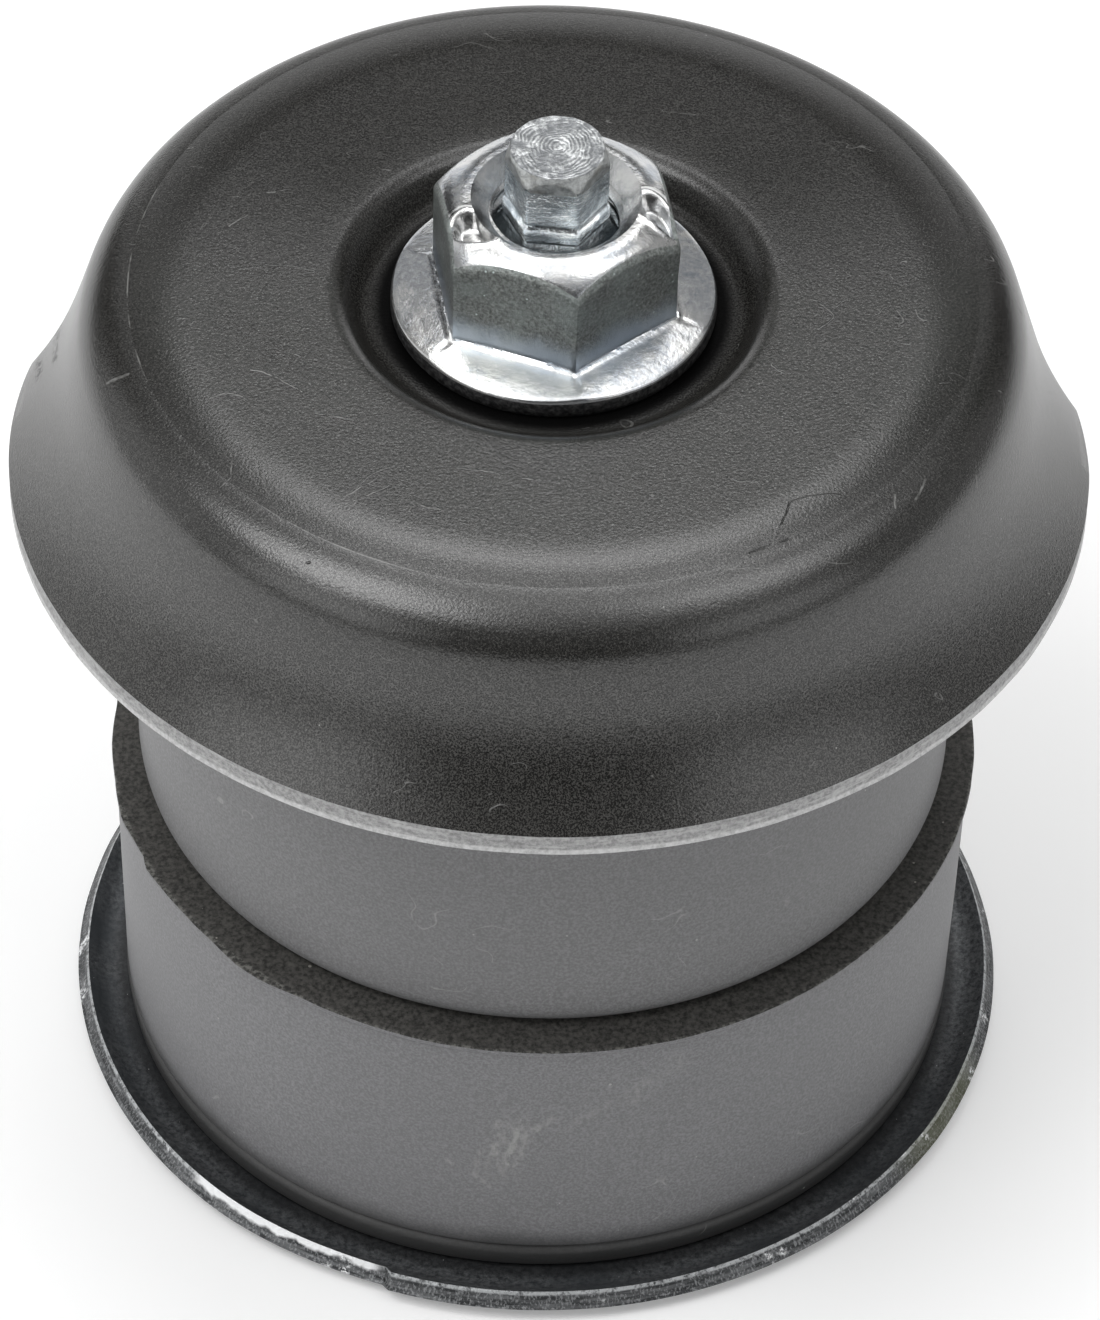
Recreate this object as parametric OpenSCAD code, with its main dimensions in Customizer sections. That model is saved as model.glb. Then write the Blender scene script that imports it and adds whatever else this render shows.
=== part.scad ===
// Radiator mount: two rubber cushions held between a pressed steel cup and a dished
// steel washer by one bolt, a spacer sleeve and a flange nut. All sizes are in millimetres.
// The axis is Z, and the washer's flat ring stands on Z = 0.

/* [Upper cushion] */
// Diameter of the upper rubber cushion
upper_d = 68; // [56:0.5:80]
// Height of the upper rubber cushion
upper_h = 49.3; // [30:0.1:70]
// Radius round the upper cushion's lower edge
upper_foot_round = 2.4; // [1:0.1:5]

/* [Lower cushion] */
// Diameter of the lower rubber cushion at its foot
lower_foot_d = 71; // [64:0.5:86]
// Height of the lower rubber cushion
lower_h = 28.3; // [20:0.1:45]
// Draft of the lower cushion's side, wider at the top, in degrees
lower_draft = 1.15; // [0:0.05:3]
// Reach of the moulding flash past the side at the top edge
flash_reach = 0.4; // [0.1:0.1:1]
// Thickness of the moulding flash
flash_t = 0.5; // [0.2:0.1:1.5]
// Height of the crease above the washer, where the foot bead ends
crease_h = 2.6; // [1.5:0.1:5]
// Depth of the crease
crease_depth = 0.35; // [0.1:0.05:0.8]

/* [Cup] */
// Sheet thickness of the cup
cup_t = 1.6; // [1:0.1:2.5]
// Room between the upper cushion's side and the inside of the cup's shoulder corner
shoulder_gap = 1; // [0.5:0.1:4]
// Bend radius of the shoulder, on the outside
shoulder_bend = 7.5; // [4:0.1:10]
// Lean of the skirt away from the axis, in degrees
skirt_lean = 16.8; // [5:0.1:25]
// Height from the crown down to the corner where the flare starts
skirt_h = 15.35; // [12:0.05:24]
// Width of the flare, from its corner to the rim
flare_w = 2.6; // [2:0.1:6]
// Slope of the flare below level, in degrees
flare_slope = 35; // [20:1:50]
// Bend radius between the skirt and the flare, on the outside
flare_bend = 6; // [3:0.1:8]
// Depth of the nut recess below the crown
recess_depth = 2.4; // [1.8:0.1:5]
// Room between the nut's flange and the corner of the recess floor
recess_gap = 2.2; // [1.5:0.1:4]
// Slope of the recess wall above level, in degrees
recess_slope = 50; // [35:1:60]
// Bend radius of the recess lip, on the outside
recess_lip_bend = 3; // [2.6:0.1:5]
// Bend radius at the foot of the recess wall, on the outside
recess_foot_bend = 1.6; // [0.5:0.1:2]
// Depth by which the rear of the flare is cut back from the rim
rear_cut = 2.9; // [0.5:0.1:3.5]
// Azimuth of the centre of the rear cut's first rounded end, counted from +X
rear_cut_from = 14.2; // [0:0.1:60]
// Azimuth of the centre of the rear cut's other rounded end
rear_cut_to = 158.8; // [120:0.1:180]

/* [Washer] */
// Sheet thickness of the washer
washer_t = 1.6; // [1:0.1:2.5]
// Room between the lower cushion's foot and the start of the upturned rim
rim_gap = 0.1; // [0:0.1:3]
// Height of the rim's upper edge above the washer's floor
rim_rise = 1.1; // [0.8:0.1:5]
// Slope of the upturned rim above level, in degrees
rim_slope = 35; // [20:1:55]
// Bend radius of the upturned rim, on the inside of the dish
rim_bend = 5.6; // [2:0.1:8]
// Room between the bolt head's flange and the wall of the raised seat
seat_gap = 3.5; // [2.8:0.1:6]
// Lean of the raised seat's wall, in degrees
seat_lean = 12; // [4:1:20]
// Bend radius at the top of the raised seat, on the outside
seat_bend = 3; // [2.6:0.1:4]
// Bend radius at the foot of the raised seat, on the outside
seat_foot_bend = 2.5; // [1:0.1:4]
// Height of the bolt head above the surface that the washer stands on
head_clearance = 0.9; // [0.3:0.1:4]

/* [Sleeve] */
// Clearance between the bolt and the spacer sleeve's bore
sleeve_bore_clearance = 0.7; // [0.3:0.1:2]
// Wall of the spacer sleeve
sleeve_wall = 2.8; // [1.5:0.1:4]
// Clearance between the sleeve and the cushions' bores
sleeve_clearance = 0.3; // [0.1:0.05:1]

/* [Bolt] */
// Nominal thread diameter
thread_d = 12; // [10:0.5:12]
// Thread pitch
thread_pitch = 1.75; // [1.25:0.25:1.75]
// Clearance between the bolt and the holes of the cup and the washer
hole_clearance = 0.6; // [0.3:0.1:1]
// Length of the threaded part
thread_len = 32; // [24:0.5:50]
// Distance from the nut's upper face down to the end of the thread
thread_end_drop = 3; // [1.5:0.1:5]
// Height of the bolt head with its flange
head_h = 11.5; // [8:0.1:14]
// Size across the flats of the drive tip
tip_af = 7.3; // [5:0.1:8]
// Length of the drive tip above the thread's end
tip_len = 8.2; // [4:0.1:14]
// Diameter of the drive tip's end face
tip_face_d = 7.6; // [4:0.1:8.4]
// Height of the drive tip's tapered end
tip_taper = 1.3; // [0.3:0.1:3]
// Turn of the drive tip's hexagon about the axis at rest
tip_turn = 55; // [0:0.5:60]

/* [Nut] */
// Size across the flats of the nut and the bolt head
hex_af = 18; // [16:0.5:19]
// Height of the nut with its flange
nut_h = 11.8; // [9:0.1:14]
// Diameter of the flange
flange_d = 26; // [23:0.1:30]
// Thickness of the flange at its edge
flange_edge = 1.8; // [1.2:0.1:3]
// Slope of the flange's upper face, in degrees
flange_slope = 12; // [5:1:25]
// Diameter of the countersink at the nut's upper face
countersink_d = 13.5; // [12.5:0.1:14]
// Width of the flat ring round the countersink
face_w = 0.3; // [0.1:0.1:1]
// Slope of the corner chamfer below level, in degrees
chamfer_slope = 30; // [15:1:35]
// Radius of the punch that dents alternate corners
dent_r = 1.9; // [1:0.1:2.5]
// Depth of each dent
dent_depth = 0.7; // [0.2:0.05:1]
// Clearance between the nut's bore and the bolt's thread, both drawn at the pitch line
thread_clearance = 0.05; // [0.02:0.01:0.08]
// Turn of the nut's hexagon about the axis at rest
nut_turn = 40.5; // [0:0.5:60]

/* [Hidden] */
$fn = 96;
// Steps round each bend of a sheet or a rounded edge
bend_steps = 7;
// Reach of a cutting solid past the face that it cuts
over = 1;

steel_black = [0.2, 0.2, 0.21];
steel_dark = [0.3, 0.32, 0.35];
steel_plain = [0.55, 0.55, 0.56];
zinc = [0.74, 0.78, 0.82];
rubber_upper = [0.36, 0.36, 0.37];
rubber_lower = [0.33, 0.33, 0.34];

// Bolt and nut. The shank is rolled a little under the nominal size, and the pitch line of a
// 60 degree thread lies 0.6495 of the pitch below it, on the diameter.
shank_undersize = 0.05;
pitch_line_share = 0.6495;
thread_end_chamfer = 1;
flange_edge_chamfer = 0.3;
lower_sink = 0.8;
shank_r = thread_d / 2 - shank_undersize;
pitch_r = (thread_d - pitch_line_share * thread_pitch) / 2;
hole_r = thread_d / 2 + hole_clearance;
flange_r = flange_d / 2;
corner_r = hex_af / 2 / cos(30);
tip_corner_r = tip_af / 2 / cos(30);
face_r = countersink_d / 2 + face_w;

// Heights of the stack, from the washer up
seat_z = head_h + head_clearance;
seat_top_z = seat_z + washer_t;
shelf_z = washer_t + lower_h;
crown_under_z = shelf_z + upper_h;
crown_z = crown_under_z + cup_t;
nut_z = crown_z - recess_depth;
nut_top_z = nut_z + nut_h;
thread_end_z = nut_top_z - thread_end_drop;

// Cup, all on the outside face of the sheet
upper_r = upper_d / 2;
recess_floor_r = flange_r + recess_gap;
recess_lip_r = recess_floor_r + recess_depth / tan(recess_slope);
shoulder_r = upper_r + cup_t + shoulder_gap;
flare_r = shoulder_r + skirt_h * tan(skirt_lean);
flare_z = crown_z - skirt_h;
rim_r = flare_r + flare_w;
flat_crown_r = shoulder_r - shoulder_bend * tan((90 - skirt_lean) / 2);

// Washer, all on the upper face of the sheet
foot_r = lower_foot_d / 2;
rim_start_r = foot_r + rim_gap;
rim_corner_r = rim_start_r + rim_bend * tan(rim_slope / 2);
rim_run = rim_rise / tan(rim_slope);
seat_r = flange_r + seat_gap;
seat_foot_r = seat_r + head_h * tan(seat_lean);
seat_foot_reach = seat_foot_bend * tan((90 - seat_lean) / 2);

// Sleeve and cushions. The rubber stays clear of the washer's raised seat and of the recess.
rubber_gap = 0.4;
relief_gap = 0.8;
bead_round = 0.9;
head_round_room = 0.5;
least_head_round = 1.5;
sleeve_bore_r = thread_d / 2 + sleeve_bore_clearance;
sleeve_r = sleeve_bore_r + sleeve_wall;
bore_r = sleeve_r + sleeve_clearance;

// Unit vector from one profile point to the next
function heading(a, b) = (b - a) / norm(b - a);

// Vector turned a quarter turn to the left
function left(v) = [-v[1], v[0]];

// Vector turned by an angle to the left
function turned(v, a) = [v[0] * cos(a) - v[1] * sin(a), v[0] * sin(a) + v[1] * cos(a)];

// Share of a leg that one bend may take up, beside another bend and beside a free end
inner_share = 0.5;
end_share = 0.98;

// Stations round one bend of a sheet: each is a point on the face and its outward normal.
// The bend radius gives way where a leg of the profile is too short for it.
function bend(a, b, c, radius, reach_a, reach_c) =
    let (u = heading(a, b), v = heading(b, c),
         side = cross(u, v) > 0 ? 1 : -1,
         turn = acos(u * v),
         reach = min(reach_a * norm(b - a), reach_c * norm(c - b)),
         r = min(radius, reach / tan(turn / 2)),
         centre = b - r * tan(turn / 2) * u + side * r * left(u))
    [for (k = [0 : bend_steps])
        let (n = turned(left(u), side * turn * k / bend_steps))
        [centre - side * r * n, n]];

// Closed outline of a sheet of one thickness that follows a path of corners [r, z, bend radius]
function sheet(path, t) =
    let (p = [for (q = path) [q[0], q[1]]],
         last = len(p) - 1,
         stations = concat(
             [[p[0], left(heading(p[0], p[1]))]],
             [for (i = [1 : last - 1])
                 each bend(p[i - 1], p[i], p[i + 1], path[i][2],
                           i == 1 ? end_share : inner_share,
                           i == last - 1 ? end_share : inner_share)],
             [[p[last], left(heading(p[last - 1], p[last]))]]))
    concat([for (s = stations) s[0]],
           [for (i = [len(stations) - 1 : -1 : 0]) stations[i][0] - t * stations[i][1]]);

// Points on an arc
function arc(centre, r, from, to) =
    [for (k = [0 : bend_steps])
        let (a = from + (to - from) * k / bend_steps)
        centre + r * [cos(a), sin(a)]];

// Hexagonal body with a round flange at its foot and a chamfer at its other end
module hex_flange(h) {
    rise = (flange_r - corner_r) * tan(flange_slope);
    reach_r = corner_r + over;
    intersection() {
        cylinder(h = h, r = corner_r, $fn = 6);
        rotate_extrude()
            polygon([[0, 0], [reach_r, 0],
                     [reach_r, h - (reach_r - face_r) * tan(chamfer_slope)],
                     [face_r, h], [0, h]]);
    }
    rotate_extrude()
        polygon([[0, 0], [flange_r - flange_edge_chamfer, 0],
                 [flange_r, flange_edge_chamfer], [flange_r, flange_edge],
                 [corner_r, flange_edge + rise], [0, flange_edge + rise]]);
}

module lower_washer() {
    color(steel_dark)
        rotate_extrude()
            polygon(sheet([[hole_r, seat_top_z, 0],
                           [seat_r, seat_top_z, seat_bend],
                           [seat_foot_r, washer_t, seat_foot_bend],
                           [rim_corner_r, washer_t, rim_bend],
                           [rim_corner_r + rim_run, washer_t + rim_rise, 0]], washer_t));
}

module lower_cushion() {
    crease_z = washer_t + crease_h;
    side_r = foot_r + (lower_h - flash_t) * tan(lower_draft);
    crease_r = foot_r + crease_h * tan(lower_draft);
    color(rubber_lower)
        rotate_extrude()
            polygon(concat(
                [[seat_foot_r + seat_foot_reach + rubber_gap, washer_t]],
                arc([foot_r - bead_round, washer_t + bead_round], bead_round, -90, 0),
                [[crease_r, crease_z - crease_depth],
                 [crease_r - crease_depth, crease_z],
                 [crease_r, crease_z + crease_depth],
                 [side_r, shelf_z - flash_t],
                 [side_r + flash_reach, shelf_z - flash_t],
                 [side_r + flash_reach, shelf_z],
                 [bore_r, shelf_z],
                 [bore_r, seat_top_z + rubber_gap],
                 [seat_r + rubber_gap, seat_top_z + rubber_gap],
                 [seat_foot_r + rubber_gap, washer_t + seat_foot_reach + rubber_gap]]));
}

module upper_cushion() {
    head_round = max(least_head_round, upper_r - flat_crown_r + head_round_room);
    relief_r = recess_floor_r + cup_t * tan(recess_slope / 2) + relief_gap;
    color(rubber_upper)
        rotate_extrude()
            polygon(concat(
                [[bore_r, shelf_z]],
                arc([upper_r - upper_foot_round, shelf_z + upper_foot_round],
                    upper_foot_round, -90, 0),
                arc([upper_r - head_round, crown_under_z - head_round], head_round, 0, 90),
                [[relief_r + recess_depth / tan(recess_slope), crown_under_z],
                 [relief_r, nut_z - cup_t],
                 [bore_r, nut_z - cup_t]]));
}

module spacer_sleeve() {
    color(steel_plain)
        translate([0, 0, seat_top_z])
            difference() {
                cylinder(h = nut_z - cup_t - seat_top_z, r = sleeve_r);
                translate([0, 0, -over])
                    cylinder(h = crown_z, r = sleeve_bore_r);
            }
}

module upper_cup() {
    color(steel_black)
        difference() {
            intersection() {
                rotate_extrude()
                    polygon(sheet([[hole_r, nut_z, 0],
                                   [recess_floor_r, nut_z, recess_foot_bend],
                                   [recess_lip_r, crown_z, recess_lip_bend],
                                   [shoulder_r, crown_z, shoulder_bend],
                                   [flare_r, flare_z, flare_bend],
                                   [rim_r + over, flare_z - (flare_w + over) * tan(flare_slope), 0]],
                                  cup_t));
                // The rim is trimmed upright
                cylinder(h = crown_z + over, r = rim_r);
            }
            // The flare is cut back round the rear of the cup, and the cut has rounded ends
            translate([0, 0, shelf_z]) {
                rotate([0, 0, rear_cut_from])
                    rotate_extrude(angle = rear_cut_to - rear_cut_from)
                        translate([rim_r - rear_cut, 0])
                            square([rear_cut + over, crown_z - shelf_z]);
                for (a = [rear_cut_from, rear_cut_to])
                    rotate([0, 0, a])
                        translate([rim_r, 0, 0])
                            cylinder(h = crown_z - shelf_z, r = rear_cut);
            }
        }
}

module bolt() {
    thread_start_z = thread_end_z - thread_len;
    tip_top_z = thread_end_z + tip_len;
    tip_reach_r = tip_corner_r + over;
    color(zinc) {
        // Head, below the raised seat
        translate([0, 0, seat_z])
            mirror([0, 0, 1])
                hex_flange(head_h);
        // Shank, thread at its pitch line, and the thread's chamfered end
        rotate_extrude()
            polygon([[0, seat_z - over], [shank_r, seat_z - over],
                     [shank_r, thread_start_z],
                     [pitch_r, thread_start_z + shank_r - pitch_r],
                     [pitch_r, thread_end_z - thread_end_chamfer],
                     [pitch_r - thread_end_chamfer, thread_end_z], [0, thread_end_z]]);
        // Hexagonal drive tip with a tapered end
        intersection() {
            rotate([0, 0, tip_turn])
                translate([0, 0, thread_end_z - over])
                    cylinder(h = tip_len + over, r = tip_corner_r, $fn = 6);
            rotate_extrude()
                polygon([[0, thread_end_z - over], [tip_reach_r, thread_end_z - over],
                         [tip_reach_r, tip_top_z - tip_taper],
                         [tip_corner_r, tip_top_z - tip_taper],
                         [tip_face_d / 2, tip_top_z], [0, tip_top_z]]);
        }
    }
}

module flange_nut() {
    bore = pitch_r + thread_clearance;
    sink = countersink_d / 2 - bore;
    dent_at_r = (face_r + corner_r) / 2;
    dent_z = nut_h - (dent_at_r - face_r) * tan(chamfer_slope) + dent_r - dent_depth;
    color(zinc)
        translate([0, 0, nut_z])
            rotate([0, 0, nut_turn])
                difference() {
                    hex_flange(nut_h);
                    translate([0, 0, -over])
                        cylinder(h = nut_h + 2 * over, r = bore);
                    // Countersink at each end of the thread
                    translate([0, 0, nut_h - sink])
                        cylinder(h = sink + over, r1 = bore, r2 = bore + sink + over);
                    translate([0, 0, -over])
                        cylinder(h = lower_sink + over, r1 = bore + lower_sink + over, r2 = bore);
                    // Punched dents that make the thread grip, on alternate corners
                    for (a = [60, 180, 300])
                        rotate([0, 0, a])
                            translate([dent_at_r, 0, dent_z])
                                sphere(r = dent_r);
                }
}

lower_washer();
lower_cushion();
upper_cushion();
spacer_sleeve();
upper_cup();
bolt();
flange_nut();
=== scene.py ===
"""The looks of the radiator mount: its pieces, their finishes, the floor, the light and the camera.

Sizes are in millimetres while a piece is shaped, and become metres as its mesh is made.
"""

import math

import bmesh
import bpy
from mathutils import Matrix, Vector, noise


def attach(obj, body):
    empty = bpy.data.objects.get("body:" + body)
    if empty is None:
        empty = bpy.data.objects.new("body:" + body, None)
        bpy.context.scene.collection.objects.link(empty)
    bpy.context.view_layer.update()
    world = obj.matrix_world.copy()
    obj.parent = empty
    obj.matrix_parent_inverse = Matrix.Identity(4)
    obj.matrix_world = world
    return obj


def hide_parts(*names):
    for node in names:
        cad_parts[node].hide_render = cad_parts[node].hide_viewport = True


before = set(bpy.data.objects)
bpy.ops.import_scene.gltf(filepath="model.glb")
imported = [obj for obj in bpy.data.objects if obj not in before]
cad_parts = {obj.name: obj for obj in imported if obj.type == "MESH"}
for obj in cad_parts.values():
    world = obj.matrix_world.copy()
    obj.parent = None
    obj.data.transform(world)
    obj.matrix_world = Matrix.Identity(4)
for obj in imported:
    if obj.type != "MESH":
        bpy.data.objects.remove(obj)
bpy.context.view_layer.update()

MM = 0.001
FULL_TURN = 2 * math.pi

# Sheet metal, as in the solids: corners are radius, height and bend radius
SHEET = 1.6
HOLE_R = 6.6
CROWN_Z = 80.8
NUT_Z = 78.4
CREASE_RING_R = 33.9
CREASE_RING_SHIFT = 0.57
CUP_PATH = [
    (HOLE_R, NUT_Z, 0),
    (15.2, NUT_Z, 1.6),
    (17.214, CROWN_Z, 2.2),
    (31.37, CROWN_Z, 14.0),
    (CREASE_RING_R, 79.88, 0.25),
    (37.064, 79.265, 5.2),
    (42.18, 62.31, 0),
]
# The skirt runs straight down, then curves outward to its rim, which is cut back at the rear
SKIRT_TOP = (37.064, 79.265)
SKIRT_SLOPE = 0.30185
SKIRT_BEND_END_Z = 76.3
FLARE_START_Z = 72.57
FLARE_GROWTH = 0.0282
RIM_Z = 63.63
RIM_DROP = 1.95
REAR_CUT_Z = 66.3
REAR_CUT_DROP = 0.6
REAR_CUT_ENDS = (8.2, 168.9)
REAR_CUT_STEP = 0.7
FLARE_LOSS = 0.41
FLARE_LOSS_REACH = 10.5
# Sheared edges: how deep they are torn and how far they wander
CUP_TORN = 0.09
CUP_UNEVEN = 0.05
WASHER_TORN = 0.1
WASHER_UNEVEN = 0.06
# The washer's rim is trimmed a little short beside a nick: its place in degrees, reach and depth
NICK_AT = 252.0
NICK_REACH = 26
NICK_END = 0.9
NICK_DEPTH = 0.75
RIM_START_R = 37.9
SEAT_TOP_Z = 14.0
WASHER_PATH = [
    (HOLE_R, SEAT_TOP_Z, 0),
    (16.5, SEAT_TOP_Z, 3.0),
    (18.944, SHEET, 2.5),
    (37.366, SHEET, 3.2),
    (38.937, SHEET + 1.1, 0),
]

# Rubber
SHELF_Z = 29.9
BORE_R = 9.8
UPPER_R = 34.0
CROWN_UNDER_Z = 79.2
FOOT_R = 35.5
DRAFT = math.tan(math.radians(1.15))
FLASH_REACH = 0.4
FLASH_T = 0.5
CREASE_H = 2.6

# Bolt and nut
SEAT_Z = 12.4
HEAD_H = 11.5
SHANK_R = 5.95
PITCH = 1.75
THREAD_ROOT_R = 4.88
THREAD_START_Z = 55.2
THREAD_END_Z = 87.2
TIP_TOP_Z = 95.4
TIP_FLATS = 7.3
TIP_FACE_R = 3.74
TIP_TAPER = 1.3
TIP_TURN = 55.0
HEX_FLATS = 18.0
NUT_H = 11.8
FLANGE_R = 13.0
FLANGE_EDGE = 1.8
FLANGE_SLOPE = math.tan(math.radians(12))
SINK_R = 6.75
FACE_R = 7.05
CHAMFER_DROP = 0.213
CHAMFER_CURVE = 1.925
NUT_TURN = 40.5
NUT_BORE_R = 5.05
SINK_DEPTH = 1.46
SINK_FOOT_R = 5.32
# Punched dents: place on the nut before its turn, direction in degrees, half length, half width
DENTS = [
    ((-7.30, 1.20), -80.0, 1.75, 1.15),
    ((5.20, -6.20), -88.0, 1.95, 1.05),
    ((3.75, 6.50), 150.0, 1.80, 1.10),
]
THREAD_GAP = 0.06


# Shaping


def polar(azimuth, radius, height):
    """A point round the axis, in metres."""
    return Vector((radius * math.cos(azimuth), radius * math.sin(azimuth), height)) * MM


def ease(share):
    """A share from 0 to 1 with soft ends."""
    share = min(1.0, max(0.0, share))
    return share * share * (3 - 2 * share)


def bump_at(distance, width):
    """1 at the middle of a small rise, falling away over its width."""
    return math.exp(-((distance / width) ** 2))


def rough(azimuth, height, scale, seed=0.0):
    """Smooth unevenness from -1 to 1 round the axis."""
    x, y = math.cos(azimuth) * scale, math.sin(azimuth) * scale
    return noise.noise(Vector((x, y, height + seed)))


def spread(start, end, count):
    """Numbers from start to end, both included."""
    return [start + (end - start) * k / (count - 1) for k in range(count)]


def angle_from(azimuth, degrees):
    """Signed angle in radians from a direction given in degrees."""
    return math.remainder(azimuth - math.radians(degrees), FULL_TURN)


def arc(radius, height, bend, start, end, count):
    """Points on an arc round a centre, between two angles in degrees."""
    return [
        (radius + bend * math.cos(math.radians(a)), height + bend * math.sin(math.radians(a)))
        for a in spread(start, end, count)
    ]


def spin_chain(bm, chain, closed=False, **spin):
    """Spins a chain of points round the axis."""
    edges = [bm.edges.new(pair) for pair in zip(chain, chain[1:])]
    if closed:
        edges.append(bm.edges.new((chain[-1], chain[0])))
    bmesh.ops.spin(bm, geom=chain + edges, cent=(0, 0, 0), axis=(0, 0, 1), **spin)


def spin_stations(stations, place, steps, closed=True):
    """Spins a chain of profile stations once round the axis, then presses each point into place.

    place(station, azimuth) gives a radius and a height.
    """
    bm = bmesh.new()
    mark = bm.verts.layers.int.new("station")
    chain = [bm.verts.new(polar(0.0, *place(station, 0.0))) for station in stations]
    for number, point in enumerate(chain):
        point[mark] = number
    spin_chain(bm, chain, closed, angle=FULL_TURN, steps=steps, use_merge=True)
    for point in bm.verts:
        azimuth = math.atan2(point.co.y, point.co.x)
        point.co = polar(azimuth, *place(stations[point[mark]], azimuth))
    bmesh.ops.remove_doubles(bm, verts=bm.verts, dist=1e-7)
    bmesh.ops.recalc_face_normals(bm, faces=bm.faces)
    return bm


def turn_shape(bm, angle, axis="Z"):
    """Turns a shape about an axis through the origin."""
    bmesh.ops.rotate(bm, verts=bm.verts, cent=(0, 0, 0), matrix=Matrix.Rotation(angle, 3, axis))


def lift_shape(bm, height):
    """Lifts a shape by a height in millimetres."""
    bmesh.ops.translate(bm, verts=bm.verts, vec=(0, 0, height * MM))


def paint_bands(bm, bands):
    """Gives the faces between two profile stations a material number: (first, last, number)."""
    mark = bm.verts.layers.int["station"]
    for face in bm.faces:
        numbers = [point[mark] for point in face.verts]
        for first, last, number in bands:
            if first <= min(numbers) and max(numbers) <= last:
                face.material_index = number


def first_of(stations, kind):
    """Number of the first station of one kind."""
    return min(k for k, station in enumerate(stations) if station[0] == kind)


def last_of(stations, kind):
    """Number of the last station of one kind."""
    return max(k for k, station in enumerate(stations) if station[0] == kind)


def screw_thread(offset, start_z, end_z, steps=48):
    """The helical face of the thread, cut level at both ends. The offset moves it off the axis."""
    half_root = 0.146
    flank = 0.6195
    crest = 0.219
    profile = [
        (THREAD_ROOT_R, 0),
        (THREAD_ROOT_R, half_root),
        (SHANK_R, half_root + flank),
        (SHANK_R, half_root + flank + crest),
        (THREAD_ROOT_R, PITCH - half_root),
        (THREAD_ROOT_R, PITCH),
    ]
    first_turn = math.floor(start_z / PITCH) - 1
    turns = math.ceil(end_z / PITCH) + 1 - first_turn
    bm = bmesh.new()
    chain = [
        bm.verts.new(polar(0, radius + offset, first_turn * PITCH + height))
        for radius, height in profile
    ]
    rise = (0, 0, PITCH * MM / steps)
    spin_chain(bm, chain, dvec=rise, angle=FULL_TURN * turns, steps=steps * turns)
    bmesh.ops.remove_doubles(bm, verts=bm.verts, dist=1e-6)
    for height, side in ((start_z, -1), (end_z, 1)):
        bmesh.ops.bisect_plane(
            bm,
            geom=bm.verts[:] + bm.edges[:] + bm.faces[:],
            dist=1e-7,
            plane_co=(0, 0, height * MM),
            plane_no=(0, 0, side),
            clear_outer=True,
        )
    return bm


def open_edges(bm, height=None):
    """Edges with one face, all of them or those at one height."""
    found = [edge for edge in bm.edges if edge.is_boundary]
    if height is None:
        return found
    return [
        edge
        for edge in found
        if all(abs(point.co.z - height * MM) < 1e-5 for point in edge.verts)
    ]


def join(bm, other):
    """Adds another closed shape to a piece as an island of its own."""
    carrier = bpy.data.meshes.new("carrier")
    other.to_mesh(carrier)
    other.free()
    bm.from_mesh(carrier)
    bpy.data.meshes.remove(carrier)


def finish_piece(bm, name, node, body, finishes, crisp=35.0):
    """Makes the object of a finished shape, smooth but for its crisp edges."""
    for face in bm.faces:
        face.smooth = True
    for edge in bm.edges:
        edge.smooth = edge.calc_face_angle(0) < math.radians(crisp)
    mesh = bpy.data.meshes.new(name)
    bm.to_mesh(mesh)
    bm.free()
    for finish in finishes:
        mesh.materials.append(finish)
    piece = bpy.data.objects.new(name, mesh)
    bpy.context.scene.collection.objects.link(piece)
    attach(piece, body)
    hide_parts(node)


# Pressed sheet


def unit(start, end):
    return (end - start).normalized()


def left_of(heading):
    return Vector((-heading.y, heading.x))


def turned_by(vector, angle):
    return Vector(
        (
            vector.x * math.cos(angle) - vector.y * math.sin(angle),
            vector.x * math.sin(angle) + vector.y * math.cos(angle),
        )
    )


def pressed_sheet(path, thickness, bend_steps=9, leg=1.4):
    """The face and the back of a bent sheet, as two lists of (radius, height) that match."""
    corners = [Vector(corner[:2]) for corner in path]
    stations = [(corners[0], left_of(unit(corners[0], corners[1])))]
    for before, here, after, corner in zip(corners, corners[1:], corners[2:], path[1:]):
        heading_in = unit(before, here)
        heading_out = unit(here, after)
        side = 1 if heading_in.cross(heading_out) > 0 else -1
        turn = heading_in.angle(heading_out)
        centre = (
            here
            - corner[2] * math.tan(turn / 2) * heading_in
            + side * corner[2] * left_of(heading_in)
        )
        for k in range(bend_steps + 1):
            normal = turned_by(left_of(heading_in), side * turn * k / bend_steps)
            stations.append((centre - side * corner[2] * normal, normal))
    stations.append((corners[-1], left_of(unit(corners[-2], corners[-1]))))
    face = [stations[0][0]]
    back = [stations[0][0] - thickness * stations[0][1]]
    for (here, normal), (after, next_normal) in zip(stations, stations[1:]):
        pieces = max(1, math.ceil((after - here).length / leg))
        for k in range(1, pieces + 1):
            point = here.lerp(after, k / pieces)
            across = normal.lerp(next_normal, k / pieces).normalized()
            face.append(point)
            back.append(point - thickness * across)
    return face, back


def spin_sheet(count, edge_steps, place):
    """Spins a sheet: its face, its sheared edge, which is painted as material 1, and its back."""
    stations = [("face", k) for k in range(count)]
    stations += [("edge", k / edge_steps) for k in range(1, edge_steps)]
    stations += [("back", k) for k in range(count - 1, -1, -1)]
    bm = spin_stations(stations, place, 360)
    paint_bands(bm, [(count - 1, count + edge_steps - 1, 1)])
    return bm


def flare_at(azimuth):
    """How far the skirt flares, the height of its rim, and whether it is cut back there."""
    first, last = REAR_CUT_ENDS
    off = abs(math.degrees(angle_from(azimuth, (first + last) / 2))) - (last - first) / 2
    cut = ease(0.5 - off / REAR_CUT_STEP)
    share = (1 - FLARE_LOSS * math.exp(-max(0.0, off) / FLARE_LOSS_REACH)) * (1 - cut)
    return share, RIM_Z + (REAR_CUT_Z - RIM_Z) * cut, cut


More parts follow.
